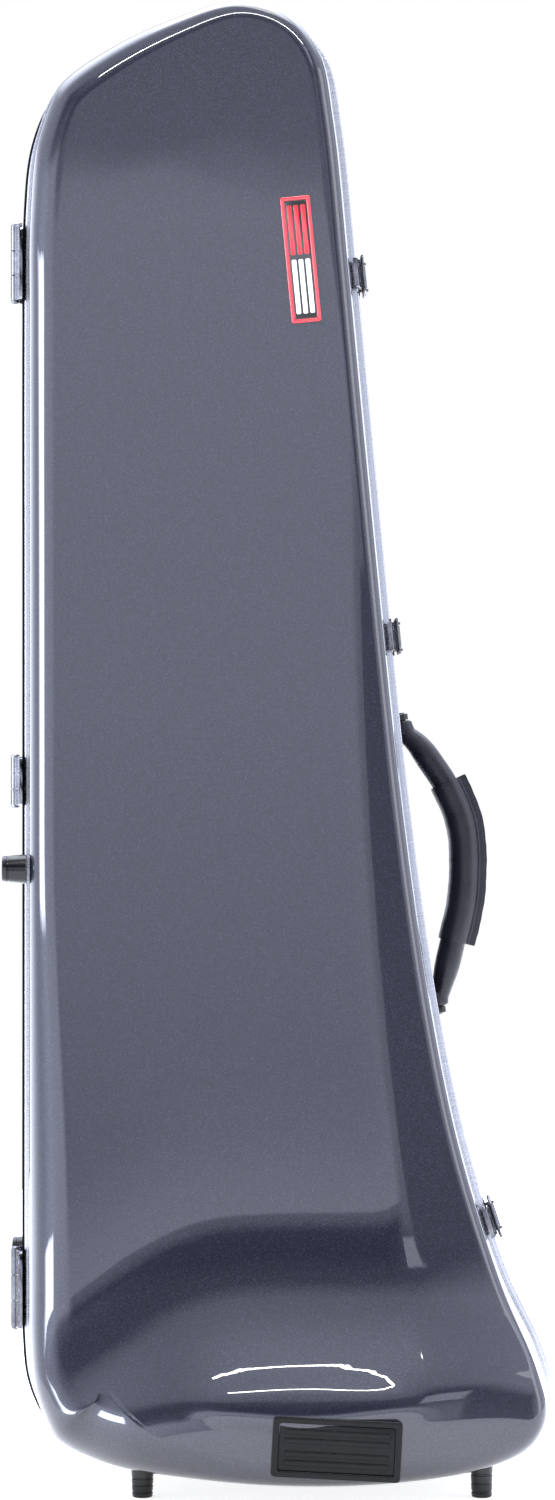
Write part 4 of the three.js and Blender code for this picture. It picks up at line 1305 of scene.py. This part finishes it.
def badge():
    y = -float(face_depth(LID, BADGE["x"], BADGE["z"])) - GAP
    lean = (LID["bottom"] - LID["top"]) / CASE_HEIGHT
    matrix = tilted(BADGE["x"], y, BADGE["z"], BADGE["tilt"], lean)
    outer = rounded_rectangle(BADGE["width"], BADGE["height"], 1.6)
    width, height = BADGE["width"] - 2 * BADGE["border"], BADGE["height"] - 2 * BADGE["border"]
    inner = rounded_rectangle(width, height, 1.0)
    ring = frame_ring("badge_surround", outer, inner, -2.0, 0.2, -1.0, BADGE_RED, matrix, 0.5)
    finish_piece(ring, "lid", "badge_red", "badge_frame")
    inlay = rounded_rectangle(width - 0.6, height - 0.6, 0.9)
    pieces = [prism("dome", inlay, (-1.7, -1.05), BADGE_BLACK, matrix, 0.3, "xz")]
    for z0, z1, finish in ((3, 34, BADGE_RED), (-34, 0, BADGE_WHITE)):
        for x in (-4.3, 0.0, 4.3):
            bar = rounded_rectangle(2.9, z1 - z0, 0.9) + (x, (z0 + z1) / 2)
            pieces.append(prism("bar", bar, (-1.85, -1.5), finish, matrix, 0.1, "xz"))
    finish_piece(joined("badge_dome", pieces), "lid", "badge_black", "badge_inlay")


# ---------------------------------------------------------------- room and light

# Brightness at levels from the floor, -1, to straight overhead, 1, as (level, brightness).
ROOM_FRONT = [
    (-0.34, 2.6), (-0.24, 1.9), (-0.19, 0.3), (-0.12, 0.3), (-0.08, 1.0), (-0.02, 1.8),
    (0.05, 2.3), (0.172, 2.6), (0.184, 1.2), (0.22, 0.9), (0.27, 0.05), (0.62, 0.05),
    (0.632, 1.5), (0.955, 1.3), (0.975, 6.0),
]
# The same further round, each with the depths over which it takes over from the one before.
ROOM_SIDES = [
    ([(-0.12, 0.15), (-0.03, 0.9), (0.04, 1.5), (0.25, 1.2), (0.40, 0.3), (0.60, 0.3),
      (0.70, 1.3)], -0.92, -0.84),
    ([(-0.12, 1.2), (0.00, 2.0), (0.60, 2.0), (0.80, 1.5)], -0.62, -0.40),
    ([(0.50, 1.8), (0.75, 6.0)], -0.15, 0.25),
]
# Patches that cover what is behind them, each with low and high limits and a soft edge.
ROOM_PATCHES = [
    dict(across=(-0.85, -0.45, 0.15), level=(-0.30, 0.22, 0.06), brightness=3.2),
    dict(across=(-0.975, -0.86, 0.02), level=(-0.03, 0.15, 0.01), depth=(-1.0, 0.0, 0.01),
         brightness=22.0),
    dict(across=(0.40, 0.56, 0.02), level=(0.36, 0.52, 0.02), depth=(-1.0, 0.0, 0.01),
         brightness=3.0),
    dict(across=(-0.40, 0.0, 0.04), level=(-0.60, 0.50, 0.10), depth=(0.90, 1.1, 0.05),
         brightness=0.28),
    dict(across=(0.60, 0.74, 0.02), level=(-0.30, 0.40, 0.05), brightness=0.4),
]
ROOM_TINT = (0.88, 0.93, 1.10)


def floor():
    mesh = bpy.data.meshes.new("floor")
    size = 1.7
    mesh.from_pydata([(-size, -size, 0), (size, -size, 0), (size, size, 0), (-size, size, 0)],
                     [], [(0, 1, 2, 3)])
    piece = bpy.data.objects.new("floor", mesh)
    bpy.context.scene.collection.objects.link(piece)
    n = Material("pale_floor")
    n.principled(Base_Color=n.ramp(n.noise(2.0), [(0.3, grey(0.78)), (0.8, grey(0.82))]),
                 Roughness=0.8, Emission_Color=(1, 1, 1, 1), Emission_Strength=0.8)
    mesh.materials.append(n.material)


def area_light(name, location, target, size, power):
    data = bpy.data.lights.new(name, "AREA")
    data.shape = "RECTANGLE"
    data.size, data.size_y = size
    data.energy = power
    light = bpy.data.objects.new(name, data)
    bpy.context.scene.collection.objects.link(light)
    light.location = location
    direction = Vector(target) - Vector(location)
    light.rotation_euler = direction.to_track_quat("-Z", "Y").to_euler()


def patch_mask(n, value_limits):
    """1 where every value is inside its own (low, high, soft) limits."""
    mask = None
    for value, limits in value_limits:
        inside = n.between(value, *limits)
        mask = inside if mask is None else n.math("MULTIPLY", mask, inside)
    return mask


def world():
    """A white studio that is dark from a little above the camera to high overhead, in front."""
    room = bpy.data.worlds.new("studio")
    bpy.context.scene.world = room
    n = Nodes(room)
    n.tree.nodes.clear()
    where = n.add("ShaderNodeTexCoord").outputs["Generated"]
    split = n.add("ShaderNodeSeparateXYZ", {0: where})
    across, depth, height = (split.outputs[axis] for axis in "XYZ")
    swell = n.math("MULTIPLY", n.noise(2.2, 3.0, vector=where), 0.03)
    ripple = n.math("MULTIPLY", n.noise(9.0, 2.0, vector=where), 0.016)
    level = n.math("ADD", height, n.math("ADD", swell, n.math("SUBTRACT", ripple, 0.008)))
    light = n.bands(level, ROOM_FRONT)
    for stops, start, end in ROOM_SIDES:
        turned_away = n.add("ShaderNodeMapRange", {
            "Value": depth, "From Min": start, "From Max": end})
        light = n.mix(turned_away.outputs[0], light, n.bands(level, stops))
    for patch in ROOM_PATCHES:
        limits = [(across, patch["across"]), (level, patch["level"])]
        if "depth" in patch:
            limits.append((depth, patch["depth"]))
        light = n.mix(patch_mask(n, limits), light, grey(patch["brightness"]))
    light = n.mix(1.0, light, ROOM_TINT, blend="MULTIPLY")
    lit = n.add("ShaderNodeBackground", {"Color": light, "Strength": 1.0})
    seen = n.add("ShaderNodeBackground", {"Color": (1, 1, 1, 1), "Strength": 1.0})
    path = n.add("ShaderNodeLightPath")
    blend = n.add("ShaderNodeMixShader", {0: path.outputs["Is Camera Ray"],
                                          1: lit.outputs[0], 2: seen.outputs[0]})
    n.add("ShaderNodeOutputWorld", {"Surface": blend.outputs[0]})


def lights():
    area_light("overhead_strip", (0.05, -0.80, 1.42), (0.03, -0.1, 0.07), (0.9, 0.04), 8)
    area_light("right_box", (1.7, -0.4, 0.8), (0, 0, 0.45), (0.6, 1.6), 8)
    area_light("top_box", (0.1, 0.1, 2.2), (0, 0, 0.5), (1.4, 0.8), 22)


shells()
valances()
gasket()
lid_lining()
back_lining()
accessory_door()
straps()
hinges()
latches()
handle()
feet()
bumper()
badge()
floor()
lights()
world()
